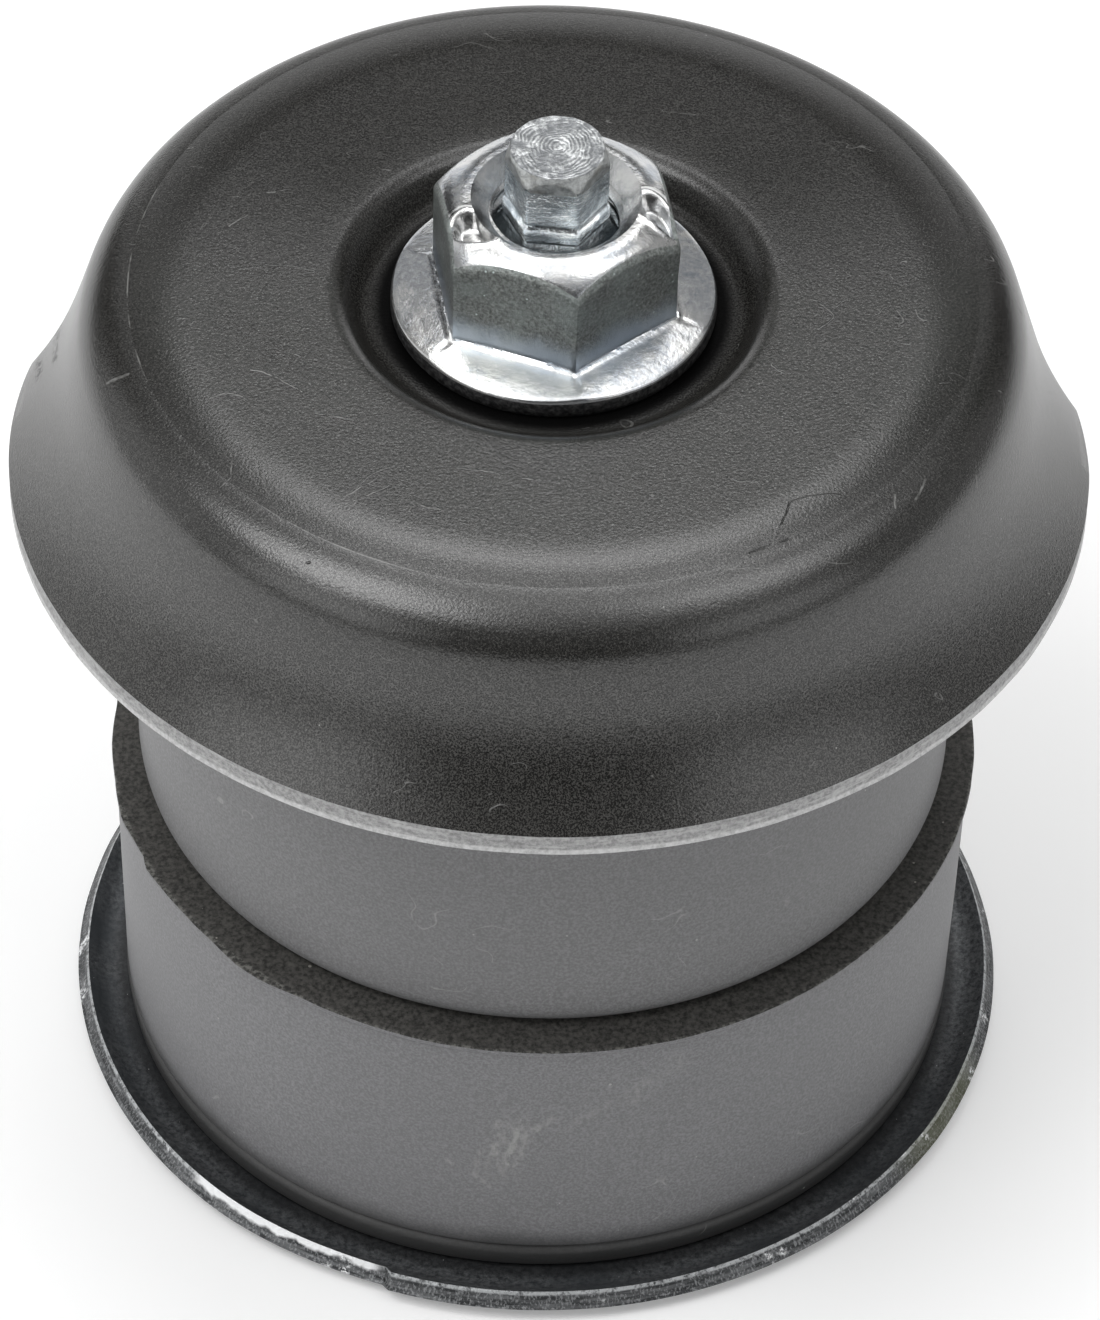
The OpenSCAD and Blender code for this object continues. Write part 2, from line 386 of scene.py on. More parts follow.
def skirt_point(height, share):
    """A point on the skirt's face and the direction that it faces."""
    reach = max(0.0, FLARE_START_Z - height)
    radius = SKIRT_TOP[0] + (SKIRT_TOP[1] - height) * SKIRT_SLOPE
    radius += share * FLARE_GROWTH * reach**2
    slope = SKIRT_SLOPE + 2 * share * FLARE_GROWTH * reach
    return Vector((radius, height)), Vector((1.0, slope)).normalized()


def shape_cup():
    """The flared cup with its nut recess, and the sheared edge at its rim."""
    face, back = pressed_sheet(CUP_PATH, SHEET)
    hinge = next(k for k, point in enumerate(face) if point.y < SKIRT_BEND_END_Z and point.x > 36)
    count = len(face)

    def place(station, azimuth):
        kind, value = station
        share, rim_z, cut = flare_at(azimuth)
        # The sheet ends in an upright edge, but square to its face in the rear cut
        drop = RIM_DROP + (REAR_CUT_DROP - RIM_DROP) * cut
        uneven = CUP_UNEVEN * rough(azimuth, 0, 9)
        if kind == "edge":
            torn = ease((value - 0.35) * 3) * (0.5 + 0.5 * rough(azimuth, value * 3, 60))
            rim, _ = skirt_point(rim_z, share)
            return rim.x + uneven - CUP_TORN * torn - cut * SHEET * value, rim_z - drop * value
        if value > hinge:
            fall = (value - hinge) / (count - 1 - hinge)
            top = face[hinge].y
            point, facing = skirt_point(top + (rim_z - top) * fall, share)
            near_rim = ease((fall - 0.7) / 0.3)
            point.x += uneven * near_rim
            if kind == "back":
                square = Vector((point.x - cut * SHEET, rim_z - drop))
                point = (point - SHEET * facing).lerp(square, near_rim)
            return point.x, point.y
        # The crease on the shoulder lies a little off the axis
        point = (face if kind == "face" else back)[value]
        slide = CREASE_RING_SHIFT * math.sin(azimuth)
        slide *= ease(1 - abs(point.x - CREASE_RING_R) / 4.5) if point.y > 76 else 0.0
        return point.x + slide, point.y - 0.27 * slide

    return spin_sheet(count, 5, place)


def shape_washer():
    """The dished washer with its raised seat and sheared rim."""
    face, back = pressed_sheet(WASHER_PATH, SHEET)

    def place(station, azimuth):
        kind, value = station
        if kind == "edge":
            point = face[-1].lerp(back[-1], value)
        else:
            point = (face if kind == "face" else back)[value]
        radius, height = point
        if radius < RIM_START_R:
            return radius, height
        off = math.degrees(angle_from(azimuth, NICK_AT))
        short = 0.0
        if -NICK_REACH < off < 0:
            short = NICK_DEPTH * ease((off + NICK_REACH) / 24)
        elif 0 <= off < NICK_END:
            short = NICK_DEPTH * ease(1 - off / NICK_END)
        torn = 0.0
        if kind == "edge":
            share = 0.5 + 0.5 * rough(azimuth, value * 4, 70)
            torn = WASHER_TORN * ease((value - 0.3) * 3) * share
        uneven = WASHER_UNEVEN * rough(azimuth, 2.0, 7)
        pull = (short + torn + uneven) * ease((radius - RIM_START_R) / 1.2)
        return radius - 0.8 * pull, height - 0.35 * pull

    return spin_sheet(len(face), 6, place)


# Rubber pieces

# Corners of the hand-trimmed flash at the left: azimuth in degrees and radius
TRIMMED_FLASH = [
    (170, 36.2), (178, 36.1), (184, 36.3), (191, 36.35),
    (198.5, 36.75), (203, 36.5), (206.4, 36.42), (207.4, 36.85),
    (212, 36.65), (217, 36.6), (223, 36.62), (228.6, 37.0),
    (233.3, 36.9), (238.3, 36.5), (245.5, 36.45), (252, 36.46),
]


def flash_radius(azimuth):
    """Radius of the moulding flash, which was trimmed by hand at the left."""
    even = FOOT_R + (SHELF_Z - SHEET - FLASH_T) * DRAFT + FLASH_REACH
    ragged = 0.05 * rough(azimuth, 5.0, 14) + 0.03 * rough(azimuth, 9.0, 50)
    degrees = math.degrees(azimuth) % 360
    for (first, radius), (last, next_radius) in zip(TRIMMED_FLASH, TRIMMED_FLASH[1:]):
        if first <= degrees < last:
            share = (degrees - first) / (last - first)
            straight = radius + (next_radius - radius) * share
            return straight + 0.6 * ragged
    return even + ragged


def shape_lower_cushion():
    """The lower rubber cushion: foot bead, crease, drafted side, flash and a top painted dark as
    shade.
    """
    side_top = FOOT_R + (SHELF_Z - SHEET - FLASH_T) * DRAFT
    crease_r = FOOT_R + CREASE_H * DRAFT
    stations = [(22.0, SHEET), (30.0, SHEET)]
    bead = 0.9
    stations += arc(FOOT_R - bead, SHEET + bead, bead, -90, 0, 8)
    stations += [
        (crease_r + 0.06, SHEET + CREASE_H - 0.75),
        (crease_r + 0.03, SHEET + CREASE_H - 0.4),
        (crease_r - 0.12, SHEET + CREASE_H - 0.16),
        (crease_r - 0.38, SHEET + CREASE_H),
        (crease_r - 0.3, SHEET + CREASE_H + 0.14),
        (crease_r - 0.04, SHEET + CREASE_H + 0.42),
    ]
    stations += [
        (FOOT_R + (z - SHEET) * DRAFT, z) for z in spread(SHEET + CREASE_H + 0.9, 28.4, 16)
    ]
    stations += [
        (side_top - 0.02, SHELF_Z - FLASH_T - 0.25),
        ("flash", -0.12, SHELF_Z - FLASH_T),
        ("flash", 0.0, SHELF_Z - 0.3),
        ("flash", -0.03, SHELF_Z - 0.06),
        ("flash", -0.12, SHELF_Z),
    ]
    top_start = len(stations) - 2
    stations += [(r, SHELF_Z) for r in (35.9, 35.0, 34.2, 33.2, 31.0, 20.0)]
    stations += [
        (BORE_R, SHELF_Z),
        (BORE_R, SEAT_TOP_Z + 0.4),
        (16.9, SEAT_TOP_Z + 0.4),
        (19.344, SHEET + 2.42),
    ]
    top_end = top_start + 7

    def place(station, azimuth):
        if station[0] == "flash":
            return flash_radius(azimuth) + station[1], station[2]
        radius, height = station
        if 4.5 < height < SHELF_Z - 0.4 and radius > 34:
            radius += 0.05 * rough(azimuth, height * 0.06, 1.6, 3.0)
        return radius, height

    bm = spin_stations(stations, place, 320)
    paint_bands(bm, [(top_start, top_end, 1)])
    return bm


def shape_upper_cushion():
    """The upper rubber cushion: straight side with a rounded foot, relieved under the recess."""
    foot = 2.4
    stations = [(BORE_R, SHELF_Z), (20, SHELF_Z), (30.0, SHELF_Z)]
    stations += arc(UPPER_R - foot, SHELF_Z + foot, foot, -90, 0, 10)
    stations += [(UPPER_R, z) for z in spread(SHELF_Z + 4, CROWN_UNDER_Z - 6.5, 18)]
    head = 3.48
    stations += arc(UPPER_R - head, CROWN_UNDER_Z - head, head, 0, 90, 9)
    stations += [(18.76, CROWN_UNDER_Z), (16.75, NUT_Z - SHEET), (BORE_R, NUT_Z - SHEET)]

    def place(station, azimuth):
        radius, height = station
        if radius > 33.9:
            radius += 0.03 * rough(azimuth, height * 0.05, 1.4, 8.0)
        return radius, height

    return spin_stations(stations, place, 256)


# Bolt and nut


def hexagon_radius(azimuth, flats, rounding):
    """Radius of a hexagon with rounded corners. A corner lies at azimuth 0."""
    sixth = math.pi / 3
    off = abs(math.remainder(azimuth, sixth))
    flat = flats / 2 / math.cos(math.pi / 6 - off)
    centre = (flats / 2 - rounding) / math.cos(math.pi / 6)
    tangent_x = centre + rounding * math.cos(math.pi / 6)
    tangent_y = rounding * math.sin(math.pi / 6)
    if off > math.atan2(tangent_y, tangent_x):
        return flat
    return centre * math.cos(off) + math.sqrt(
        max(0.0, rounding**2 - (centre * math.sin(off)) ** 2)
    )


def flange_height(radius, azimuth):
    """Height of the flange's upper face, a little flatter between the hexagon's corners."""
    off = math.remainder(azimuth, math.pi / 3)
    planar = math.cos(math.pi / 6 - abs(off)) / math.cos(math.pi / 12)
    measure = radius * (0.45 + 0.55 * planar)
    crease = 0.12 * bump_at(radius * math.sin(off), 0.2) * ease((12.6 - radius) / 1.6)
    return FLANGE_EDGE + max(0.0, FLANGE_R - measure) * FLANGE_SLOPE - crease


def chamfer_height(radius, height):
    """Height of the domed chamfer at the top of a hexagon."""
    return height - CHAMFER_DROP * max(0.0, radius - FACE_R) ** CHAMFER_CURVE


def dent_shift(radius, azimuth):
    """Depth and outward push of the punched dents at alternate corners."""
    down = 0.0
    out = 0.0
    for place, degrees, half_length, half_width in DENTS:
        off = Vector((radius * math.cos(azimuth), radius * math.sin(azimuth))) - Vector(place)
        off = turned_by(off, -math.radians(degrees))
        distance = math.hypot(off.x / half_length, off.y / (half_width * (1 - 0.12 * off.x)))
        down += 1.25 * ease((1.22 - distance) / 0.62) - 0.15 * bump_at(distance - 1.36, 0.2)
        corner = round((math.degrees(math.atan2(place[1], place[0]))) / 60) * 60
        out += bump_at(radius * math.sin(angle_from(azimuth, corner)), 1.3) * (
            math.cos(angle_from(azimuth, corner)) > 0
        )
    return down, out


def hex_flange_stations(side_steps, bored):
    """Profile stations from the top of a flanged hexagon round its outside to its foot."""
    stations = [("face", -k / 4) for k in (4, 2)]
    if bored:
        stations = [("sink back", 0.0)] + [("sink", t) for t in spread(0.0, 1.0, 5)]
    stations += [("face", t) for t in (0.0, 0.5, 1.0)]
    stations += [("chamfer", t) for t in spread(0.06, 0.94, 18)]
    stations += [("round", t) for t in (0.0, 0.2, 0.4, 0.6, 0.8, 1.0)]
    stations += [("side", t) for t in spread(0.05, 1.0, side_steps)]
    stations += [("burr", t) for t in (0.0, 0.5, 1.0)]
    stations += [("flange", t) for t in spread(0.0, 1.0, 10)]
    stations += [("rim", t) for t in (0.25, 0.5, 0.75, 1.0)]
    stations += [("wall", t) for t in (0.3, 0.65, 1.0)]
    stations += [("under", 12.7), ("under", 10.0), ("under", 6.82)]
    stations += [("sink foot", 0.0)] if bored else [("under", 0.0), ("face", -2.0)]
    return stations


def hex_flange_place(height, dented):
    """The place of each station of a flanged hexagon with its flange at height 0."""
    rounding = 0.3
    soft_in = 0.55
    soft_down = 0.5

    def place(station, azimuth):
        kind, t = station
        hexagon = hexagon_radius(azimuth, HEX_FLATS, rounding)
        side_top = chamfer_height(hexagon, height)
        foot = hexagon + 0.05
        burr = foot + 0.34
        outer = FLANGE_R - 0.2
        if kind == "sink foot":
            return SHANK_R + 0.1, 0.8
        if kind == "under":
            return t, 0.0
        if kind == "wall":
            return FLANGE_R - (0.3 if t == 1.0 else 0.0), (FLANGE_EDGE - 0.45) * (1 - t)
        if kind == "rim":
            top = flange_height(outer, azimuth)
            angle = t * math.pi / 2
            drop = top - (FLANGE_EDGE - 0.45)
            return outer + 0.2 * math.sin(angle), top - drop * (1 - math.cos(angle))
        if kind == "flange":
            radius = burr + (outer - burr) * t
            return radius, flange_height(radius, azimuth)
        if kind == "burr":
            radius = foot + (burr - foot) * t
            ragged = 0.7 + 0.6 * rough(azimuth, 0.0, 70)
            lift = 0.07 * (1 - t) + (0.08 * ragged if t == 0.5 else 0.0)
            return radius, flange_height(radius, azimuth) + lift
        if kind == "side":
            low = flange_height(foot, azimuth) + 0.12
            radius, z = hexagon, side_top - soft_down + (low - side_top + soft_down) * t
        elif kind == "round":
            start = Vector((hexagon - soft_in, chamfer_height(hexagon - soft_in, height)))
            corner = Vector((hexagon, side_top))
            end = Vector((hexagon, side_top - soft_down))
            radius, z = start.lerp(corner, t).lerp(corner.lerp(end, t), t)
        elif kind == "chamfer":
            radius = FACE_R + (hexagon - soft_in - FACE_R) * t
            z = chamfer_height(radius, height)
        elif kind == "face":
            z = height
            if t == -2.0:
                radius = 0.0
            elif t < 0:
                radius = SINK_R * (1 + t)
            else:
                radius = SINK_R + (FACE_R - SINK_R) * t
        elif kind == "sink back":
            return SHANK_R + 0.1, height - SINK_DEPTH - 0.04
        else:
            radius = SINK_FOOT_R + (SINK_R - 0.06 - SINK_FOOT_R) * t
            z = height - SINK_DEPTH + (SINK_DEPTH - 0.06) * t**1.15
        if dented and kind in ("face", "chamfer", "round", "side"):
            down, out = dent_shift(radius, azimuth)
            fade = ease(1 - (height - z) / 5.5)
            if kind == "side":
                down = 0.0 if t > 0.35 else down * ease(1 - t / 0.35)
            z -= down
            radius += 0.22 * out * fade * ease((radius - 8.6) / 1.4)
        return radius, z

    return place


def shape_nut():
    """The flange nut: chamfered and dented hexagon, creased flange, countersunk thread."""
    stations = hex_flange_stations(10, bored=True)
    bm = spin_stations(stations, hex_flange_place(NUT_H, dented=True), 288)
    paint_bands(
        bm,
        [
            (last_of(stations, "rim") - 1, last_of(stations, "under"), 1),
            (first_of(stations, "round") + 1, last_of(stations, "side"), 2),
        ],
    )
    turn_shape(bm, math.radians(NUT_TURN))
    lift_shape(bm, NUT_Z)
    join(bm, shape_nut_thread())
    return bm


def shape_nut_thread():
    """The nut's internal thread, with its ends opened by the countersinks."""
    low = NUT_Z + 0.25
    high = NUT_Z + NUT_H - SINK_DEPTH - 0.03
    bm = screw_thread(THREAD_GAP, low, high)
    opening_foot = NUT_Z + 0.8 + SHANK_R + 0.1 - NUT_BORE_R
    for point in bm.verts:
        height = point.co.z / MM
        radius = Vector(point.co[:2]).length / MM
        least = NUT_BORE_R + max(0.0, opening_foot - height)
        if radius < least:
            point.co = polar(math.atan2(point.co.y, point.co.x), min(least, 6.2), height)
    for height in (low, high):
        ring = open_edges(bm, height)
        grown = bmesh.ops.extrude_edge_only(bm, edges=ring)["geom"]
        for point in [p for p in grown if isinstance(p, bmesh.types.BMVert)]:
            point.co = polar(math.atan2(point.co.y, point.co.x), 6.4, height)
    rings = [open_edges(bm, height) for height in (low, high)]
    bmesh.ops.bridge_loops(bm, edges=rings[0] + rings[1])
    bmesh.ops.recalc_face_normals(bm, faces=bm.faces)
    return bm


def shape_bolt_thread():
    """The bolt's thread with its chamfered end."""
    bm = screw_thread(0.0, THREAD_START_Z, THREAD_END_Z)
    bmesh.ops.holes_fill(bm, edges=open_edges(bm), sides=0)
    for point in bm.verts:
        height = point.co.z / MM
        radius = Vector(point.co[:2]).length / MM
        most = SHANK_R - max(0.0, height - (THREAD_END_Z - 1.0))
        if radius > most:
            point.co = polar(math.atan2(point.co.y, point.co.x), most, height)
    bmesh.ops.recalc_face_normals(bm, faces=bm.faces)
    return bm


def shape_drive_tip():
    """The hexagonal drive tip: ringed end face, tapered end, and a scored band near its foot."""
    stations = [("end", r) for r in (0.0, 0.5, 1.0, 1.5, 2.0, 2.5, 3.0, 3.35, 3.6)]
    stations += [("lip", t) for t in (0.0, 0.5, 1.0)]
    stations += [("taper", t) for t in spread(0.15, 1.0, 6)]
    stations += [("flat", z) for z in spread(93.9, 91.0, 8)]
    stations += [("flat", z) for z in (90.6, 90.4, 90.25, 90.1, 89.95, 89.8, 89.6, 89.2, 88.8)]
    stations += [("flat", z) for z in (88.5, 88.3, 88.1, 87.9, 87.7, 87.4, 87.1, 86.5)]
    stations += [("root", 0.0)]

    def place(station, azimuth):
        kind, value = station
        hexagon = hexagon_radius(azimuth, TIP_FLATS, 0.45)
        if kind == "root":
            return 0.0, 86.5
        if kind == "end":
            return value, TIP_TOP_Z - 0.03 * rough(azimuth, value * 2.3, 1.2 * value, 4.0)
        if kind == "lip":
            uneven = 0.07 * rough(azimuth, 1.0, 5)
            angle = value * math.pi / 2
            return (
                min(TIP_FACE_R - 0.12 + uneven + 0.12 * math.sin(angle), hexagon + 0.15),
                TIP_TOP_Z - 0.14 * (1 - math.cos(angle)),
            )
        if kind == "taper":
            z = TIP_TOP_Z - 0.14 - (TIP_TAPER + 0.35) * value
            cone = TIP_FACE_R + 0.05 * rough(azimuth, 1.0, 5) + 0.45 * value
            blend = ease((value - 0.35) / 0.65)
            return min(cone, hexagon + 0.15 * (1 - blend)), z
        score = 0.16 * bump_at(value - 90.1, 0.2)
        band = 0.12 * ease((90.1 - value) / 0.5)
        lower = 0.16 * bump_at(value - 88.3, 0.14)
        flare = 0.9 * ease((88.2 - value) / 1.3)
        return hexagon - score + band - lower + flare, value

    bm = spin_stations(stations, place, 216, closed=False)
    turn_shape(bm, math.radians(TIP_TURN))
    paint_bands(
        bm,
        [
            (0, last_of(stations, "lip"), 1),
            (last_of(stations, "lip"), last_of(stations, "taper"), 2),
        ],
    )
    return bm


def shape_bolt():
    """The bolt: flanged head below the seat, shank, thread and drive tip."""
    bm = shape_drive_tip()
    head = spin_stations(
        hex_flange_stations(6, bored=False), hex_flange_place(HEAD_H, dented=False), 144
    )
    turn_shape(head, math.pi, "X")
    lift_shape(head, SEAT_Z)
    join(bm, head)
    shank = [
        (0, SEAT_Z - 1),
        (SHANK_R, SEAT_Z - 1),
        (SHANK_R, 30),
        (SHANK_R, THREAD_START_Z),
        (THREAD_ROOT_R, THREAD_START_Z + 1.1),
        (0, THREAD_START_Z + 1.1),
    ]
    join(bm, spin_stations(shank, lambda station, azimuth: station, 64, closed=False))
    join(bm, shape_bolt_thread())
    return bm


# Finishes


class Finish:
    """A material and the steps that work out its colour, roughness and relief."""

    def __init__(self, name, **plain):
        self.material = bpy.data.materials.new(name)
        self.material.use_nodes = True
        self.tree = self.material.node_tree
        self.shader = self.tree.nodes["Principled BSDF"]
        for socket, value in plain.items():
            self.shader.inputs[socket.replace("_", " ")].default_value = value
        self.place = self.tree.nodes.new("ShaderNodeTexCoord").outputs["Object"]

    def step(self, kind, inputs, settings=()):
        """Adds one node. An input is a value or another node's output."""
        node = self.tree.nodes.new("ShaderNode" + kind)
        for name, value in dict(settings).items():
            setattr(node, name, value)
        for key, value in inputs.items():
            socket = node.inputs[key]
            if isinstance(value, bpy.types.NodeSocket):
                self.tree.links.new(value, socket)
            else:
                socket.default_value = value
        return node

    def sum(self, operation, first, second=0.0, third=0.0, clamp=False):
        """One step of arithmetic."""
        inputs = {0: first, 1: second, 2: third}
        settings = {"operation": operation, "use_clamp": clamp}
        return self.step("Math", inputs, settings).outputs[0]

    def times(self, first, second):
        return self.sum("MULTIPLY", first, second)

    def scaled(self, value, factor, base):
        """A value times a factor, on top of a base."""
        return self.sum("MULTIPLY_ADD", value, factor, base)

    def opposite(self, share):
        return self.sum("SUBTRACT", 1.0, share)

    def length(self, x, y):
        """The length of a line from its two parts."""
        return self.sum("SQRT", self.sum("ADD", self.times(x, x), self.times(y, y)))

    def vector(self, operation, inputs, output=0):
        """One step of arithmetic on places."""
        return self.step("VectorMath", inputs, {"operation": operation}).outputs[output]

    def grain(self, scale, detail=3.0, roughness=0.6, place=None):
        """Noise from 0 to 1, with its scale in features per metre."""
        inputs = {"Vector": place or self.place, "Scale": scale}
        inputs.update({"Detail": detail, "Roughness": roughness})
        return self.step("TexNoise", inputs).outputs["Fac"]

    def above(self, value, low, high):
        """0 below the low mark and 1 above the high one, with soft ends."""
        node = self.step(
            "MapRange",
            {"Value": value, "From Min": low, "From Max": high},
            {"interpolation_type": "SMOOTHSTEP"},
        )
        return node.outputs["Result"]

    def between(self, value, low, high, soft):
        """1 between two marks."""
        inside = self.above(value, low - soft, low + soft)
        outside = self.above(value, high - soft, high + soft)
        return self.times(inside, self.opposite(outside))

    def blend(self, share, first, second):
        """One colour over another."""
        node = self.step("Mix", {"Factor": share}, {"data_type": "RGBA"})
        for index, value in ((6, first), (7, second)):
            if isinstance(value, bpy.types.NodeSocket):
                self.tree.links.new(value, node.inputs[index])
            else:
                node.inputs[index].default_value = (*value, 1.0)
        return node.outputs[2]

    def parts(self):
        """The radius, the height and the direction round the axis of each point."""
        split = self.step("SeparateXYZ", {"Vector": self.place})
        x, y, z = split.outputs
        return self.length(x, y), z, self.sum("ARCTAN2", y, x)

    def moved(self, turn=(0, 0, 0), size=(1, 1, 1), shift=(0, 0, 0)):
        """The place turned and stretched, for a pattern with a grain."""
        inputs = {"Vector": self.place, "Rotation": turn, "Scale": size, "Location": shift}
        return self.step("Mapping", inputs).outputs["Vector"]

    def specks(self, scale, size, share):
        """Sparse round dots: a share of the cells of a pattern holds one."""
        node = self.step("TexVoronoi", {"Vector": self.place, "Scale": scale, "Randomness": 1.0})
        pick = self.step("SeparateColor", {"Color": node.outputs["Color"]}).outputs[0]
        dot = self.opposite(self.above(node.outputs["Distance"], size * 0.6, size))
        return self.times(dot, self.sum("GREATER_THAN", pick, 1.0 - share))

    def hairs(self, scale, width, least, stretch=(1, 1, 1), shift=(0, 0, 0)):
        """Sparse fine crooked scratches: where a slow noise crosses its middle, here and there."""
        place = self.moved(size=stretch, shift=shift)
        wander = self.grain(scale, 2.0, 0.55, place)
        off = self.sum("ABSOLUTE", self.sum("SUBTRACT", wander, 0.5))
        line = self.opposite(self.above(off, width * 0.3, width))
        elsewhere = self.moved(size=stretch, shift=[x + 0.37 for x in shift])
        where = self.above(self.grain(scale * 1.4, 1.0, 0.5, elsewhere), least, least + 0.04)
        return self.times(line, where)

    def stroke(self, start, end, width, wobble=0.0):
        """One scratch from start to end, in millimetres, a little crooked."""
        start, end = Vector(start) * MM, Vector(end) * MM
        run = end - start
        place = self.place
        if wobble:
            bend = self.step("TexNoise", {"Vector": place, "Scale": 700.0, "Detail": 2.0})
            bend = self.vector("SUBTRACT", {0: bend.outputs["Color"], 1: (0.5, 0.5, 0.5)})
            place = self.vector("MULTIPLY_ADD", {0: bend, 1: (wobble * MM,) * 3, 2: place})
        away = self.vector("SUBTRACT", {0: place, 1: start})
        along = self.vector("DOT_PRODUCT", {0: away, 1: run / run.length_squared}, "Value")
        along = self.sum("ADD", along, 0.0, clamp=True)
        foot = self.vector("SCALE", {0: run, "Scale": along})
        gap = self.vector("DISTANCE", {0: away, 1: foot}, "Value")
        return self.opposite(self.above(gap, width * MM * 0.3, width * MM))

    def most(self, *values):
        """The largest of several marks."""
        found = values[0]
        for value in values[1:]:
            found = self.sum("MAXIMUM", found, value)
        return found

    def relief(self, height, strength, depth):
        """Bump from a height from 0 to 1, with its depth in metres."""
        node = self.step("Bump", {"Height": height, "Strength": strength, "Distance": depth})
        self.tree.links.new(node.outputs["Normal"], self.shader.inputs["Normal"])

    def put(self, **sockets):
        for socket, value in sockets.items():
            self.tree.links.new(value, self.shader.inputs[socket.replace("_", " ")])

    def done(self, colour, roughness, height, strength, depth):
        """The finished material, with its colour, roughness and relief."""
        self.put(Base_Color=colour, Roughness=roughness)
        self.relief(height, strength, depth)
        return self.material


# Scratches on the cup: start, end, width and wobble in millimetres
CUP_SCRATCHES = [
    ((-26.6, -14.1, 80.8), (-25.4, -13.4, 80.8), 0.09, 0.3),
    ((-25.4, -13.4, 80.8), (-24.1, -13.9, 80.8), 0.09, 0.3),
    ((-23.6, -10.8, 80.8), (-21.3, -11.6, 80.8), 0.07, 0.6),
    ((-21.3, -11.6, 80.8), (-19.6, -13.2, 80.8), 0.06, 0.6),
    ((-18.3, -15.5, 80.8), (-15.3, -16.2, 80.8), 0.09, 0.5),
    ((-26.1, 5.9, 80.8), (-24.7, 7.3, 80.8), 0.08, 0.4),
    ((-26.2, 9.3, 80.8), (-21.4, 10.5, 80.8), 0.07, 0.8),
    ((-15.5, -24.6, 80.8), (-13.3, -22.7, 80.8), 0.07, 0.4),
    ((-15.0, -25.2, 80.8), (-12.3, -23.4, 80.8), 0.06, 0.4),
    ((-35.0, -10.5, 78.6), (-33.3, -10.4, 79.6), 0.20, 0.3),
    ((-24.7, -20.0, 80.5), (-24.6, -22.2, 80.2), 0.09, 0.6),
    ((-24.6, -22.2, 80.2), (-25.7, -23.1, 79.7), 0.08, 0.6),
    ((-8.2, -21.3, 80.8), (-5.3, -21.4, 80.8), 0.07, 0.8),
    ((-5.3, -21.4, 80.8), (0.8, -22.6, 80.8), 0.07, 0.9),
    ((-9.8, -25.5, 80.8), (-8.4, -25.9, 80.8), 0.07, 0.6),
    ((26.9, -21.7, 79.7), (26.9, -22.9, 79.4), 0.12, 0.4),
    ((28.6, -21.6, 79.1), (29.3, -19.6, 79.5), 0.14, 0.5),
    ((29.9, -18.0, 79.6), (29.5, -19.2, 79.5), 0.10, 0.5),
    ((33.4, -17.0, 77.4), (33.5, -17.5, 76.7), 0.12, 0.3),
    ((29.7, -28.2, 66.5), (29.9, -28.8, 65.7), 0.12, 0.3),
]
# Fine dark cracks and one small pit in the coat, given the same way
CUP_CRACKS = [
    ((18.0, -26.2, 80.5), (18.7, -24.0, 80.7), 0.13, 0.4),
    ((18.7, -24.0, 80.7), (20.1, -23.1, 80.7), 0.12, 0.4),
    ((20.1, -23.1, 80.7), (22.6, -22.6, 80.4), 0.09, 0.5),
    ((15.5, -29.1, 80.2), (18.5, -27.4, 80.2), 0.12, 0.5),
    ((-18.4, -30.5, 79.25), (-18.2, -30.5, 79.3), 0.17, 0.0),
]
# Pitted lines of the fold where the flare meets the rear cut, given the same way
CUP_FOLDS = [
    ((-40.2, 8.2, 67.7), (-40.2, 5.3, 68.8), 1.0, 0.3),
    ((-40.2, 5.3, 68.8), (-40.1, 1.4, 69.9), 0.9, 0.3),
    ((-41.4, 7.8, 65.5), (-41.8, 5.1, 65.9), 1.0, 0.3),
    ((-41.8, 5.1, 65.9), (-41.5, 2.5, 66.8), 0.8, 0.3),
]


